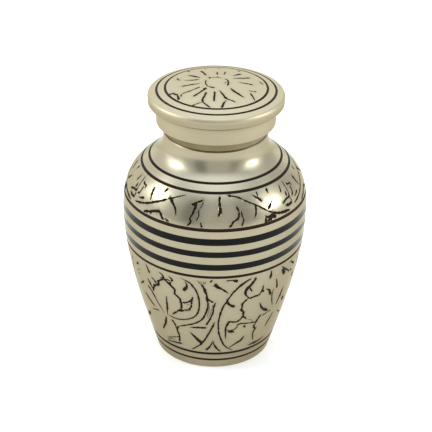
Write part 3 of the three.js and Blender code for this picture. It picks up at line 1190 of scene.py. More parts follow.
def leaf_right() -> list[Stroke]:
    """The leaf right of the middle line, behind its tall curved stem."""
    return [
        line(1.7, (17, 103.4), (12.4, 95), (9.2, 85), (6.6, 75.4), (4.9, 64), (4, 54), (3.8, 45), (4.6, 33),
             (6.6, 22.6), (9.2, 13.2), (12.8, 6.8), (18.2, 1.2)),
        swell(2.7, (24.8, 112.6), (20.2, 108.6), (16, 102.4), (12.2, 94.8)),
        wedge(3.1, (1.4, 108), (2.6, 105), (6, 101.2), (10, 94.8)),
        swell(2.0, (1.2, 108.6), (2.2, 103.8)),
        wedge(3.2, (14, 74.8), (11.7, 77.2), (10, 80.4), (8.6, 88.6)),
        swell(2.0, (14.9, 77), (13.6, 73.4)),
        line(1.3, (7.4, 113.6), (11, 113.8), (15.4, 113.6)),
        wedge(2.6, (15, 113.4), (14, 111.2), (12, 113.6)),
        chip(3.0, (27.1, 109.4), (24.6, 103), (22.4, 99.4), (21, 95), (21.5, 90)),
        chip(1.5, (21.5, 90.6), (23, 86.6), (25, 83)),
        chip(2.3, (24.7, 83.3), (28.2, 84.4), (31.6, 84.7), (33.2, 87.6), (34, 91.4)),
        wedge(2.6, (33.8, 89.6), (34.2, 93), (34.2, 98)),
        wedge(2.4, (35.6, 86.6), (34.6, 89), (33.6, 91.4)),
        wedge(2.3, (26.2, 92.4), (24.9, 96), (23.7, 100.4)),
        wedge(2.9, (42.7, 78.2), (41.2, 82.4), (39.8, 87), (36.6, 90.6)),
        wedge(3.2, (39.2, 104.6), (39.2, 109.8), (39, 115.4)),
        wedge(2.6, (48, 83.6), (46.9, 90), (44.7, 100)),
        chip(2.3, (22.6, 82.6), (20, 77.4), (20.1, 71.8), (19.6, 67.9), (21.7, 64.2), (21.9, 57)),
        chip(2.3, (21.8, 57), (20, 52.6), (17.4, 49.6), (14.9, 50.2), (11.8, 51.9), (10.9, 48.6),
             (9.7, 43.2)),
        wedge(2.4, (9.6, 44), (9.7, 36), (10.3, 22)),
        wedge(1.9, (21.8, 57), (23.5, 54.4), (25.6, 50.4)),
        line(0.6, (26.6, 50.2), (31, 46)),
        chip(2.3, (18.3, 44), (20, 46), (23.8, 44.8), (28, 43.4), (33.4, 42)),
        wedge(2.6, (24.8, 38.8), (23.4, 41.4)),
        line(1.5, (19.2, 43.2), (17.6, 39.6), (15.2, 36.8)),
        chip(2.7, (12.1, 36.2), (13.5, 33.5), (14.3, 35.8), (15.8, 33.4)),
        wedge(2.8, (23.3, 15.4), (24.9, 19.6), (26.5, 23.6)),
        wedge(2.7, (23.4, 15.8), (19.4, 12.6), (13, 6.6)),
        chip(2.6, (36.8, 48.9), (35.2, 44.2), (33.8, 37.9), (33.1, 34.6), (35.6, 29.6), (34.2, 25)),
        wedge(2.2, (34.2, 26), (34.8, 18), (36.8, 9.4)),
        swell(3.1, (32.7, 4), (38.5, 3.6), (45, 4.4), (50.6, 7)),
        line(1.0, (34, 6.6), (38, 5.6), (42, 6.2)),
        wedge(3.4, (43.7, 53), (40.4, 57), (37, 61.8), (33.6, 72.4)),
        swell(1.8, (44.3, 86), (44.1, 78), (45, 70), (47.9, 57.4)),
        swell(3.2, (56.6, 79), (55.2, 68), (52.7, 54.2)),
        line(1.6, (38.8, 48.2), (43.2, 50.1), (47.7, 50.6)),
        swell(3.1, (52.1, 44.6), (49.8, 36), (46.8, 25)),
        line(1.8, (49.1, 111.6), (52, 107.8), (55.6, 102.8), (59.2, 97.8)),
        swell(4.6, (50.2, 108), (51.6, 103.6), (53.2, 100)),
        line(2.0, (58.4, 111.4), (61.8, 107.6), (65.4, 102.5)),
        line(1.7, (59.8, 99.8), (64, 95)),
        swell(4.2, (60, 61.4), (61.4, 57.4), (62.3, 54)),
        line(1.6, (59.4, 40.6), (62.7, 36.1), (66, 32.5)),
    ]


def side_scrolls() -> list[Stroke]:
    """What fills the hidden sides between one pair of leaves and the next, in the same hand."""
    return [
        line(1.8, (69, 112), (73.5, 96), (75, 78), (75, 56), (73, 36), (68.5, 20), (63, 9)),
        line(1.5, (80, 102), (81.5, 84), (81.5, 62), (80, 40), (77, 24)),
        line(1.8, (94, 113), (89, 100), (86.5, 82), (86, 60), (87, 38), (90, 20), (94, 8)),
        wedge(2.8, (67, 88), (69.5, 80)),
        wedge(2.8, (80, 116), (82, 109)),
        swell(3.0, (78, 14), (83, 8)),
        line(1.5, (-79, 104), (-76, 88), (-75.5, 68), (-77, 46), (-80, 30)),
        line(1.7, (-66, 112), (-69.5, 94), (-71, 74), (-70, 52), (-67.6, 36)),
        wedge(2.8, (-74, 113), (-72, 104)),
        wedge(2.6, (-73, 22), (-68.5, 9)),
        swell(1.7, (-62.4, 74.6), (-58, 80), (-54.4, 85.6)),
        swell(2.6, (-61.4, 102.4), (-57.6, 107.4)),
        swell(4.6, (-65.8, 26.4), (-62.8, 30.4), (-60, 34.6)),
        line(0.8, (-61, 95), (-57, 99)),
        line(0.7, (-62, 90), (-58, 92)),
    ]


def lower_band() -> BandPattern:
    """The band of four vine leaves, two to a drawing."""
    return BandPattern([*leaf_left(), *leaf_right(), *side_scrolls()], low_angle=-82.5, repeats=2, base=0.24)


def shoulder_band() -> BandPattern:
    """The band of three wave crests, each with a hanging leaf."""
    strokes = [
        line(2.1, (-60.6, 5.3), (-56.8, 6.5), (-53.4, 8), (-49.6, 10.1), (-46.2, 12.6), (-41.8, 16.4),
             (-37.3, 20.2), (-32.9, 24.2)),
        wedge(2.2, (-33.2, 24), (-28.4, 27.8), (-25.1, 30.4), (-20.8, 33.4)),
        wedge(3.2, (-31.8, 27), (-30.4, 24.4), (-28.2, 20.8), (-26.4, 17.4), (-25.3, 14), (-24.7, 9)),
        line(1.4, (10.2, 34.8), (13.8, 34), (17.2, 31.8), (20.4, 28.4)),
        swell(2.4, (9.4, 35.2), (10.8, 34.9), (12.2, 34.3)),
        line(1.5, (19, 29.8), (23.6, 25.4), (28, 21), (31.9, 16.3), (36.4, 10.6), (40.4, 7)),
        swell(3.0, (38.6, 8.4), (43, 5.2), (48, 3.6), (54.4, 2)),
        wedge(2.5, (27.7, 21.6), (27.3, 16.6), (26.6, 11.4), (25.1, 6.8)),
        line(2.7, (3.3, 35.2), (3.3, 28), (3.4, 23), (3.8, 18.6), (2.9, 15.6), (2.1, 12.6)),
        wedge(1.2, (3.8, 19), (5, 15.4)),
        wedge(2.2, (-8.2, 29.8), (-10.7, 28.2), (-13.4, 26.2), (-16.3, 23)),
        wedge(5.0, (-12.7, 26.4), (-12.6, 22.6), (-13.3, 18)),
        swell(3.0, (-15.8, 24.4), (-13.4, 24.6), (-11.4, 25.4)),
        line(2.0, (-13.3, 20), (-13.7, 15.6), (-14.6, 11.6), (-15.4, 9), (-14.7, 6.6), (-15.3, 3.4),
             (-17, 0.8)),
        line(0.9, (-7.6, 28.6), (-8.4, 24.6), (-9.8, 20)),
        line(1.2, (-9.9, 20.4), (-10.3, 16.4), (-9.9, 13), (-10.8, 9.6), (-11.2, 7.2)),
        wedge(2.4, (-7.4, 0.8), (-8, 3.2), (-8.9, 6.6)),
        wedge(2.5, (14.4, 23.4), (15.2, 19.4), (15.9, 15.4)),
        line(2.0, (15.7, 17), (15.3, 12), (13.8, 8.8), (11.4, 6.6), (10.6, 3.8), (8.8, 0.8)),
        line(1.5, (17.1, 18), (17.4, 13), (18.3, 7.4), (17.3, 4.4), (16.7, 0.8)),
        chip(2.6, (-48.6, 1.6), (-45.8, 3.2), (-43.2, 4.6), (-41, 6.6), (-38.6, 7.8), (-36.4, 8.2)),
        wedge(2.0, (-43.6, 2.4), (-42.6, 5)),
        chip(2.6, (-36.8, 8.6), (-35.3, 6.4), (-34.4, 3.8), (-33, 1.4)),
        swell(1.8, (-31, 2.8), (-29.8, 1.6)),
        chip(2.4, (33, 1), (33.3, 5.8), (35.8, 4.8), (38.2, 6), (41, 3.8)),
        swell(3.8, (35.6, 3.2), (38, 3.8), (40.4, 2.8)),
        swell(2.4, (33.6, 1.6), (36, 0.9), (38, 1.5)),
        wedge(2.6, (-36.2, 35.4), (-36.8, 32.4), (-37.9, 28.6)),
        wedge(3.0, (-47.6, 29), (-47.1, 23), (-46.4, 19), (-46.2, 15.4)),
        wedge(1.9, (31.2, 35.4), (31.3, 32), (31.2, 28.4)),
        wedge(2.6, (32.6, 24), (31, 27.2), (29, 29.8), (27, 32.8)),
        wedge(2.9, (40.9, 35.4), (40, 32.4), (40, 28.6)),
        wedge(3.0, (36.2, 13.6), (38.9, 17.6), (41.8, 21.6)),
        wedge(2.3, (50.9, 24), (51.9, 28.2), (52.7, 33)),
        line(2.1, (54.9, 23.6), (54.7, 20), (54.3, 16.8)),
        line(1.0, (57.6, 34.6), (57.5, 26), (57.6, 18.6)),
        wedge(2.5, (57.2, 14.2), (57.3, 17), (57.5, 21)),
        line(2.3, (57.4, 15.2), (54.6, 15.2), (52, 14.4), (50, 13)),
        line(1.4, (57.6, 14), (57.7, 11), (57.4, 8.8)),
        line(2.5, (57.4, 8.4), (54.6, 7.8), (51.2, 9)),
        chip(2.0, (-60, 29.4), (-58.6, 27), (-55.8, 27.2), (-55.4, 23.6)),
        line(1.8, (-57.6, 25), (-57.7, 20.4), (-58.3, 16.8), (-60.4, 14)),
        wedge(2.6, (-51.7, 15.2), (-54, 13.2), (-58, 11.4)),
    ]
    return BandPattern(strokes, low_angle=-61.5, repeats=3)


def flower() -> list[Stroke]:
    """The lid's flower, in grid units: x to the right, y towards the front."""
    return [
        line(1.5, (-10.8, -6), (-11.7, -1), (-11.4, 4), (-9.8, 8.8), (-6.8, 11.6)),
        swell(2.8, (-7.6, 11), (-4.4, 13), (-1, 13.8)),
        line(1.1, (-9, -9), (-5.4, -12.4), (0, -13.4), (6, -12)),
        swell(2.4, (-7.8, -14), (-6.6, -11.8)),
        swell(1.8, (0.8, -16), (1.6, -13.8)),
        line(2.0, (8.6, -10.4), (11.2, -7.4), (12.4, -2.6), (12.6, 3), (11.6, 8.4)),
        swell(1.9, (9.2, -1), (9.6, 2.8)),
        line(2.2, (-2.2, 21.6), (-1.7, 28.4), (-2.2, 34), (-2, 42)),
        wedge(3.4, (12, 37.6), (9.3, 33.6), (5.8, 25.6), (2.6, 18.8)),
        wedge(2.8, (6, 52.2), (7.2, 47.2), (8.4, 42.6), (11.2, 38)),
        chip(2.0, (12.4, 37.2), (16, 38.4), (19.8, 41)),
        line(2.1, (-10.3, 23.2), (-12, 30), (-14.2, 36.8), (-14, 41.4)),
        chip(2.2, (-14.2, 39), (-13.8, 42.6), (-11.6, 45.8), (-8.6, 49.4), (-6.2, 52.6)),
        wedge(2.0, (-13, 39.8), (-14.2, 42)),
        wedge(2.1, (-25.6, 48.2), (-20.2, 45.2), (-14, 42.4)),
        wedge(3.8, (-11, 12.8), (-12.6, 17), (-14.6, 20.4)),
        line(2.3, (-13.6, 18.8), (-17.4, 23.6), (-21.4, 28), (-24.4, 31.6)),
        swell(2.8, (-20, 26.4), (-22.6, 29.4)),
        line(1.8, (-17.8, 11.4), (-22, 14.8), (-29.1, 19.6), (-36.4, 23.2)),
        swell(2.0, (-18.6, 10.4), (-18, 13.6)),
        swell(1.9, (-36.8, 23.4), (-36.8, 29.6)),
        chip(2.7, (-49.6, 20.6), (-46.1, 19.2), (-43.6, 21.6), (-40.6, 24)),
        swell(3.0, (-43.4, 22), (-40.4, 24.4)),
        wedge(3.0, (-39, 35), (-39.9, 29), (-40.8, 23.6)),
        wedge(3.0, (-37.6, 6), (-30, 4.9), (-24, 3.8), (-16.6, 2)),
        wedge(3.0, (-20, -8.6), (-24, -7.6), (-30, -8.4), (-35, -9.6)),
        line(1.6, (-39, -10.6), (-41.4, -15), (-43, -20)),
        swell(3.0, (-31.6, -25.2), (-25, -20.2), (-17.6, -13.2)),
        swell(3.0, (-31.4, -41.4), (-29.8, -38.4)),
        wedge(3.3, (-17, -37.4), (-14.2, -30), (-12.6, -24.4), (-10.8, -18.6)),
        line(1.4, (-12.6, -49.6), (-12.2, -45)),
        line(1.7, (-0.2, -33), (0.6, -27.6), (0.8, -22)),
        line(1.4, (2.2, -50), (3.4, -45.4)),
        line(1.4, (9.6, -35), (8.8, -28.6), (7.9, -22)),
        wedge(3.6, (25, -29.6), (22.6, -26.2), (17.4, -21)),
        swell(3.4, (26, -44.6), (23.6, -41.8)),
        wedge(3.7, (35, -21), (31, -17.8), (25, -15.4), (17, -12.4)),
        line(1.8, (45.6, -14), (48, -11), (50, -7.6)),
        wedge(3.1, (39.2, -1.2), (32, -2), (23, -3)),
        line(1.4, (33.6, 14.6), (37.4, 15.2), (41, 14.6)),
        swell(1.6, (41.2, 12.6), (41, 16.4)),
        swell(2.9, (14, 12.6), (18.4, 19.4), (23.4, 25), (29.4, 31)),
        line(1.8, (35.2, 18.8), (37.6, 24.6), (39, 29), (40.6, 34)),
        swell(2.4, (36.6, 22), (38.2, 26.6)),
    ]


@dataclass
class UrnBody:
    """The hollow vessel: foot, engraved belly, black stripes, engraved shoulder and neck.

    recess_side goes outwards from the recess and up from the ground, floor_cove inwards from the wall and up
    from the floor, and hollow is the stretch of height over which the inner wall follows the outline.
    """

    outline: Outline = field(default_factory=Outline)
    foot_edge: float = 0.35 * MM
    recess_r: float = 13.0 * MM
    recess_depth: float = 2.0 * MM
    recess_side: tuple[Point2, ...] = ((0.1 * MM, 1.85 * MM), (0.3 * MM, 0.15 * MM), (0.45 * MM, 0.0))
    rim_z: float = 63.8 * MM
    rim_edge: float = 0.25 * MM
    mouth_r: float = 11.7 * MM
    mouth_z: float = 60.0 * MM
    wall: float = 1.8 * MM
    hollow: Point2 = (8.8 * MM, 58.2 * MM)
    hollow_pitch: float = 2.2 * MM
    floor_z: float = 4.2 * MM
    floor_cove: tuple[Point2, ...] = ((0.7 * MM, 1.4 * MM), (1.9 * MM, 0.2 * MM), (3.4 * MM, 0.0))
    foot_ring: RingLine = RingLine(3.0 * MM, 0.8 * MM, 0.2 * MM)
    base_ring: RingLine = RingLine(5.45 * MM, 0.95 * MM, 0.25 * MM)
    # Painted shade on the foot's rounding, its ring and the wall up to the base ring: it darkens them like
    # the shadowed floor beside the foot that they reflect.
    foot_grime: float = 0.9
    waist_ring: RingLine = RingLine(33.35 * MM, 0.85 * MM, 0.25 * MM)
    stripes: tuple[RingLine, ...] = (
        RingLine(36.4 * MM, 1.85 * MM, 0.1 * MM),
        RingLine(40.25 * MM, 1.7 * MM, 0.1 * MM),
        RingLine(43.9 * MM, 1.9 * MM, 0.1 * MM),
    )
    collar_ring: RingLine = RingLine(47.15 * MM, 0.88 * MM, 0.2 * MM)
    shoulder_rings: tuple[RingLine, ...] = (
        RingLine(55.3 * MM, 0.8 * MM, 0.25 * MM),
        RingLine(56.95 * MM, 0.75 * MM, 0.25 * MM),
    )

    def plain(self, low: float, high: float, pitch: float = 0.8 * MM) -> list[ProfilePoint]:
        """Plain wall between two heights, ends left out."""
        inner = self.outline.heights(low, high, pitch)[1:-1]
        return [ProfilePoint(self.outline.radius(z), z) for z in inner]

    def foot(self) -> list[ProfilePoint]:
        """The underside, from its middle outwards, and the foot up to the engraved band.

        Returns:
            The profile, in order.
        """
        base_r = self.outline.radius(self.foot_edge)
        points = [ProfilePoint(r * self.recess_r, self.recess_depth) for r in (0.0, 0.35, 0.7, 0.985)]
        points += [ProfilePoint(self.recess_r + out, up) for out, up in self.recess_side]
        points.append(ProfilePoint(base_r - self.foot_edge, 0.0))
        # The foot's rounding, the foot ring and the wall up to the base ring carry painted shade.
        for sine, cosine in quarter_turn(6)[1:]:
            r = base_r - self.foot_edge + self.foot_edge * sine
            points.append(ProfilePoint(r, self.foot_edge * (1 - cosine), soot=self.foot_grime))
        points += ring_profile(self.outline, self.foot_ring, self.foot_grime)
        ring = ring_profile(self.outline, self.base_ring, self.foot_grime)
        gap = [ProfilePoint(p.r, p.z, soot=self.foot_grime) for p in self.plain(points[-1].z, ring[0].z)]
        return points + gap + ring

    def waist(self) -> list[ProfilePoint]:
        """The plain bands and black stripes between the two engraved bands.

        Returns:
            The profile, in order.
        """
        *parts, top = (stripe_profile(self.outline, stripe) for stripe in (*self.stripes, self.collar_ring))
        parts.append([ProfilePoint(p.r, p.z, patina=p.enamel) for p in top])
        points = ring_profile(self.outline, self.waist_ring)
        for part in parts:
            points += self.plain(points[-1].z, part[0].z) + part
        return points

    def neck_and_inside(self) -> list[ProfilePoint]:
        """The shoulder rings, the neck, its rim, and the inner wall down to the middle of the floor.

        Returns:
            The profile, in order.
        """
        points = ring_profile(self.outline, self.shoulder_rings[0])
        upper = ring_profile(self.outline, self.shoulder_rings[1])
        points += self.plain(points[-1].z, upper[0].z) + upper
        points += self.plain(points[-1].z, self.outline.neck_z, 0.6 * MM)
        neck_r = self.outline.neck_r
        points += [
            ProfilePoint(neck_r, self.outline.neck_z),
            ProfilePoint(neck_r, self.rim_z - self.rim_edge),
            # The rim top, hidden under the lid's collar, carries painted shade.
            ProfilePoint(neck_r - self.rim_edge, self.rim_z, soot=RECESS_PAINTED_SHADE),
            ProfilePoint(self.mouth_r + self.rim_edge, self.rim_z, soot=RECESS_PAINTED_SHADE),
            ProfilePoint(self.mouth_r, self.rim_z - self.rim_edge),
            ProfilePoint(self.mouth_r, self.mouth_z),
        ]
        inner = self.outline.heights(*self.hollow, self.hollow_pitch)
        points += [ProfilePoint(*self.outline.inset(z, self.wall)) for z in reversed(inner)]
        last_r = points[-1].r
        points += [ProfilePoint(last_r - inward, self.floor_z + up) for inward, up in self.floor_cove]
        points += [ProfilePoint(last_r / 2, self.floor_z), ProfilePoint(0.0, self.floor_z)]
        return points

    def band_wall(self, low: float, high: float) -> tuple[list[Point2], float]:
        """The stretch of wall under an engraved band, and its length.

        Args:
            low: the height at which the band begins.
            high: the height at which it ends.

        Returns:
            The wall's points (r, z), and the length along them.
        """
        wall = [(self.outline.radius(z), z) for z in self.outline.heights(low, high, 0.25 * MM)]
        length = sum(math.dist(a, b) for a, b in zip(wall[:-1], wall[1:]))
        return wall, length

    def build(
        self, finish: bpy.types.Material, turning: TurnedShellTree, wrapping: WrappedBandTree
    ) -> bpy.types.Object:
        """Builds the vessel as one closed piece and dresses it.

        Args:
            finish: the vessel's material.
            turning: the tree that spins the plain parts.
            wrapping: the tree that wraps the engraved bands.

        Returns:
            The finished piece.
        """
        foot, waist, top = self.foot(), self.waist(), self.neck_and_inside()
        lower_wall, lower_length = self.band_wall(foot[-1].z, waist[0].z)
        upper_wall, upper_length = self.band_wall(waist[-1].z, top[0].z)
        foot_end = profile_length(foot)
        waist_start = foot_end + lower_length
        waist_end = waist_start + profile_length(waist)
        top_start = waist_end + upper_length
        shells = [turning.spin([foot, waist, top], [0.0, waist_start, top_start], finish)]
        for pattern, wall, length, begun in (
            (lower_band(), lower_wall, lower_length, foot_end),
            (shoulder_band(), upper_wall, upper_length, waist_end),
        ):
            mean_radius = sum(r for r, _ in wall) / len(wall)
            band = wrapping.wrap(pattern.sheet(length, mean_radius), wall, pattern.repeats, finish)
            band.run += begun
            shells.append(band)
        return finished_piece("engraved_urn_body", joined(shells), finish)


def profile_length(points: list[ProfilePoint]) -> float:
    """The length along a profile."""
    return sum(math.hypot(b.r - a.r, b.z - a.z) for a, b in zip(points[:-1], points[1:]))


@dataclass
class UrnLid:
    """The lift-off lid: an engraved dome on a flange and collar, with a spigot, hollow from below."""

    top_z: float = TOTAL_HEIGHT
    fall: float = 0.0089 / MM
    disc_ring: RingLine = RingLine(13.1 * MM, 0.66 * MM, 0.2 * MM)
    edge_ring: RingLine = RingLine(15.3 * MM, 0.64 * MM, 0.2 * MM)
    flange_r: float = 17.6 * MM
    flange_z: float = 71.55 * MM
    flange_round: float = 1.05 * MM
    flange_edge: float = 0.5 * MM
    flange_draft: float = 0.05 * MM
    side_drop: float = 1.4 * MM
    plain_r: float = 14.2 * MM
    # Painted shade on the flange's side and in the cove under it, fading down the cove.
    grime: float = 1.3
    collar_r: float = 15.45 * MM
    collar_z: float = 66.45 * MM
    collar_rows: tuple[float, ...] = (69.3 * MM, 68.0 * MM)
    collar_edge: float = 0.2 * MM
    cove: float = 1.4 * MM
    boss_r: float = 13.25 * MM
    boss_edge: float = 0.15 * MM
    seat_z: float = 63.83 * MM
    seat_edge: float = 0.06 * MM
    spigot_r: float = 11.4 * MM
    spigot_z: float = 59.6 * MM
    spigot_edge: float = 0.2 * MM
    bore_r: float = 10.0 * MM
    bore_edge: float = 0.6 * MM
    top_wall: float = 2.2 * MM
    disc_pitch: float = 0.55 * MM
    disc_spacing: float = 0.6 * MM

    def dome(self, r: float) -> float:
        """The height of the lid's top at a radius."""
        return self.top_z - self.fall * r * r

    def dome_ring(self, ring: RingLine) -> list[ProfilePoint]:
        """A blackened ring line in the dome.

        Args:
            ring: the ring's radius, width and depth.

        Returns:
            The profile across the ring, from the inside outwards.
        """
        half = ring.width / 2
        points = []
        for share, depth, patina in RING_CUT:
            r = ring.place + half * share
            points.append(ProfilePoint(r, self.dome(r) - ring.depth * depth, patina=patina))
        return points

    def profile(self) -> list[ProfilePoint]:
        """The turned profile from the inner ring line outwards, down, and in under the dome.

        Returns:
            The profile, in order.
        """
        points = self.dome_ring(self.disc_ring)
        points.append(ProfilePoint(self.plain_r, self.dome(self.plain_r)))
        points += self.dome_ring(self.edge_ring)
        inner_r = self.flange_r - self.flange_round
        for sine, cosine in quarter_turn(7):
            r = inner_r + self.flange_round * sine
            points.append(ProfilePoint(r, self.dome(inner_r) - self.flange_round * (1 - cosine)))
        side = self.flange_r - self.flange_draft
        middle = (self.flange_z + self.top_z) / 2
        # The flange's side and the cove under it carry painted shade.
        points.append(ProfilePoint(side, middle - self.side_drop, soot=self.grime))
        for sine, cosine in quarter_turn(4):
            r = side - self.flange_edge * (1 - cosine)
            points.append(ProfilePoint(r, self.flange_z + self.flange_edge * (1 - sine), soot=self.grime))
        for i, (sine, cosine) in enumerate(quarter_turn(7)):
            r = self.collar_r + self.cove * (1 - sine)
            z = self.flange_z - self.cove * (1 - cosine)
            points.append(ProfilePoint(r, z, soot=self.grime * (1 - 0.7 * i / 7)))
        points += [ProfilePoint(self.collar_r, z) for z in self.collar_rows]
        for sine, cosine in quarter_turn(4):
            r = self.collar_r - self.collar_edge * (1 - cosine)
            points.append(ProfilePoint(r, self.collar_z + self.collar_edge * (1 - sine)))
        return points + self.underside()

    def underside(self) -> list[ProfilePoint]:
        """The boss and seat on the rim, the spigot in the mouth, and the hollow up to the axis.

        Returns:
            The profile, in order.
        """
        under = self.dome(self.bore_r) - self.top_wall
        boss = [
            (self.boss_r + self.boss_edge, self.collar_z),
            (self.boss_r, self.collar_z - self.boss_edge),
            (self.boss_r, (self.collar_z + self.seat_z) / 2),
            (self.boss_r, self.seat_z + self.seat_edge),
            (self.boss_r - self.seat_edge, self.seat_z),
        ]
        spigot = [
            (self.spigot_r, self.seat_z),
            (self.spigot_r, self.spigot_z + self.spigot_edge),
            (self.spigot_r - self.spigot_edge, self.spigot_z),
            (self.bore_r + self.spigot_edge, self.spigot_z),
            (self.bore_r, self.spigot_z + self.spigot_edge),
            (self.bore_r, under - self.bore_edge),
            (self.bore_r - self.bore_edge, under),
            (self.bore_r / 2, under),
            (0.0, under),
        ]
        # The boss, in the recess under the collar, carries painted shade; the spigot carries none.
        return [ProfilePoint(r, z, soot=RECESS_PAINTED_SHADE) for r, z in boss] + [ProfilePoint(r, z) for r, z in spigot]

    def disc(self) -> Shell:
        """The domed disc inside the inner ring line, with the flower cut into it.

        Returns:
            The disc as a shell, open at its edge.
        """
        engraver = Engraver(boldness=1.15)
        for stroke in flower():
            points = np.array([(x * GRID, -y * GRID) for x, y in stroke.points])
            engraver.add(points, stroke.width * GRID, stroke.cut)
        rim = self.disc_ring.place - self.disc_ring.width / 2
        turns = np.arange(COLUMNS) * 2 * math.pi / COLUMNS
        border = rim * np.column_stack([np.cos(turns), np.sin(turns)])
        inner = [(0.0, 0.0)]
        rings = round(rim / self.disc_pitch)
        for i in range(1, rings):
            r = rim * i / rings
            count = max(8, round(2 * math.pi * r / self.disc_spacing))
            ways = [2 * math.pi * j / count for j in range(count)]
            inner += [(r * math.cos(way), r * math.sin(way)) for way in ways]
        shell = engraver.cut_sheet(border, np.array(inner))
        radius = np.hypot(shell.vertices[:, 0], shell.vertices[:, 1])
        shell.vertices[:, 2] += self.top_z - self.fall * radius**2
        shell.run = radius
        return shell

    def build(self, finish: bpy.types.Material, turning: TurnedShellTree) -> bpy.types.Object:
        """Builds the lid as one closed piece and dresses it.

        Args:
            finish: the lid's material.
            turning: the tree that spins the plain parts.

        Returns:
            The finished piece.
        """
        rim = self.disc_ring.place - self.disc_ring.width / 2
        turned = turning.spin([self.profile()], [rim], finish)
        return finished_piece("engraved_urn_lid", joined([self.disc(), turned]), finish)


@dataclass(frozen=True)
class Glow:
    """A soft bright or dim place in the room: where it is, how far it spreads, and its strength."""

    azimuth: float
    elevation: float
    width: float
    height: float
    strength: float


@dataclass(frozen=True)
class Softbox:
    """A square soft light: where it is seen from the urn, its power, its width and its distance."""

    name: str
    azimuth: float
    elevation: float
    power: float = 1.1
    width: float = 0.145
    distance: float = 0.6


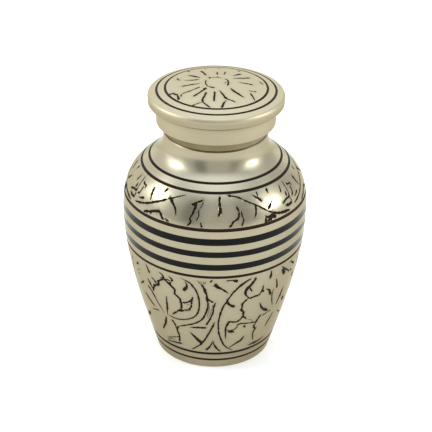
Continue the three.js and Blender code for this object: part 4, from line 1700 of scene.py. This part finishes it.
@dataclass
class Studio:
    """The pale floor, the soft lights and the camera at the photograph's angle."""

    distance: float = 368.5 * MM
    elevation: float = 29.01
    target: tuple[float, float, float] = (0.35 * MM, 0.0, 38.11 * MM)
    roll: float = 0.83
    lens: float = 114.8
    sensor: float = 36.0
    grey: float = 1.0
    white: float = 1.9
    overhead: float = 1.3
    sky_low: tuple[float, float, float] = (0.95, 1.0, 1.07)
    sky_high: tuple[float, float, float] = (0.93, 1.03, 1.22)
    glows: tuple[Glow, ...] = (
        Glow(-87, 28, 22, 24, 1.6),
        Glow(80, 22, 17, 21, 1.7),
        Glow(-31, 25, 13, 36, -0.55),
        Glow(-130, 30, 16, 34, -0.5),
        Glow(126, 18, 18, 28, -0.8),
        Glow(39, 22, 10, 30, -0.35),
    )
    softboxes: tuple[Softbox, ...] = (Softbox("left_softbox", -86, 31), Softbox("right_softbox", 78, 19))
    lit_height: float = 0.05
    floor_reach: float = 3.0
    floor_front: float = 0.6
    floor_colour: tuple[float, float, float] = (0.59, 0.58, 0.55)
    floor_glow: tuple[float, float, float] = (1.0, 0.985, 0.93)
    floor_glow_strength: float = 0.4

    @staticmethod
    def facing(middle: Vector, way: Vector, distance: float) -> Matrix:
        """The place and turn of a thing that looks at a point from a distance, out along a way.

        Args:
            middle: the point that it looks at.
            way: the unit vector from there towards it.
            distance: how far off it is.

        Returns:
            Its world matrix.
        """
        turn = way.to_track_quat("Z", "Y").to_matrix().to_4x4()
        return Matrix.Translation(middle + way * distance) @ turn

    @staticmethod
    def way(azimuth: float, elevation: float) -> Vector:
        """The unit vector from the urn towards an azimuth and elevation in degrees."""
        a, e = math.radians(azimuth), math.radians(elevation)
        return Vector((math.sin(a) * math.cos(e), -math.cos(a) * math.cos(e), math.sin(e)))

    def camera(self) -> None:
        """Places the camera and makes it the scene's."""
        data = bpy.data.cameras.new("camera")
        data.lens = self.lens
        data.sensor_width = self.sensor
        data.clip_start = 0.01
        camera = linked("camera", data)
        roll = Matrix.Rotation(math.radians(self.roll), 4, "Z")
        way = self.way(0.0, self.elevation)
        camera.matrix_world = self.facing(Vector(self.target), way, self.distance) @ roll
        bpy.context.scene.camera = camera

    def hang(self, softbox: Softbox) -> None:
        """Hangs a soft light that faces the urn.

        Args:
            softbox: the light's place, size and power.
        """
        data = bpy.data.lights.new(softbox.name, "AREA")
        data.shape = "RECTANGLE"
        data.size = data.size_y = softbox.width
        data.energy = softbox.power
        way = self.way(softbox.azimuth, softbox.elevation)
        middle = Vector((0.0, 0.0, self.lit_height))
        linked(softbox.name, data).matrix_world = self.facing(middle, way, softbox.distance)

    def floor(self) -> None:
        """Lays the plain pale floor."""
        mesh = bpy.data.meshes.new("floor")
        reach, front = self.floor_reach, self.floor_front
        corners = [(-reach, -front, 0), (reach, -front, 0), (reach, reach, 0), (-reach, reach, 0)]
        mesh.from_pydata(corners, [], [(0, 1, 2, 3)])
        material = bpy.data.materials.new("pale_floor")
        material.use_nodes = True
        shader = material.node_tree.nodes["Principled BSDF"]
        shader.inputs["Base Color"].default_value = (*self.floor_colour, 1.0)
        shader.inputs["Roughness"].default_value = 0.9
        shader.inputs["Specular IOR Level"].default_value = 0.0
        shader.inputs["Emission Color"].default_value = (*self.floor_glow, 1.0)
        shader.inputs["Emission Strength"].default_value = self.floor_glow_strength
        mesh.materials.append(material)
        linked("floor", mesh)

    def sky(self) -> None:
        """Lights the room: white round and over the urn, grey behind the camera, with its soft places."""
        world = bpy.data.worlds.new("room")
        bpy.context.scene.world = world
        world.use_nodes = True
        tree = world.node_tree
        tree.nodes.clear()
        bench = Bench(tree)
        x, y, z = bench.parts(bench.node("ShaderNodeTexCoord", output="Generated"))
        azimuth = bench.math("ARCTAN2", x, 0 - y) * (180 / math.pi)
        elevation = bench.math("ARCSINE", z) * (180 / math.pi)
        light = bench.share(y, -0.1, 0.6, ends=(self.grey, self.white), soft=True)
        light = light + bench.share(elevation, 48.0, 80.0, ends=(0.0, self.overhead), soft=True)
        for glow in self.glows:
            across = (azimuth - glow.azimuth) / glow.width
            up = (elevation - glow.elevation) / glow.height
            square = across * across
            rise = up * up
            fade = bench.math("EXPONENT", 0 - square * square - rise * rise)
            light = light + glow.strength * fade
        colour = bench.mix(bench.share(elevation, 25.0, 75.0), self.sky_low, self.sky_high)
        bench.end("ShaderNodeOutputWorld", bench.node("ShaderNodeBackground", [colour, light]))

    def build(self) -> None:
        """Sets the whole studio up."""
        self.camera()
        self.floor()
        self.sky()
        for softbox in self.softboxes:
            self.hang(softbox)
        bpy.context.scene.view_settings.view_transform = "Standard"


def main() -> None:
    """Builds the urn's pieces in order, places them on the frame, and sets up the studio."""
    logging.basicConfig(level=logging.INFO, format="%(name)s %(message)s")
    turning = TurnedShellTree()
    wrapping = WrappedBandTree()
    body_finish = PewterFinish("body_pewter").build()
    lid_finish = PewterFinish("lid_pewter", metal=(0.4, 0.35, 0.232), roughness=0.48).build()
    body = UrnBody().build(body_finish, turning, wrapping)
    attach(body, ROOT)
    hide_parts("urn_body")
    lid = UrnLid().build(lid_finish, turning)
    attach(lid, ROOT)
    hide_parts("urn_lid")
    Studio().build()


if __name__ == "__main__":
    main()
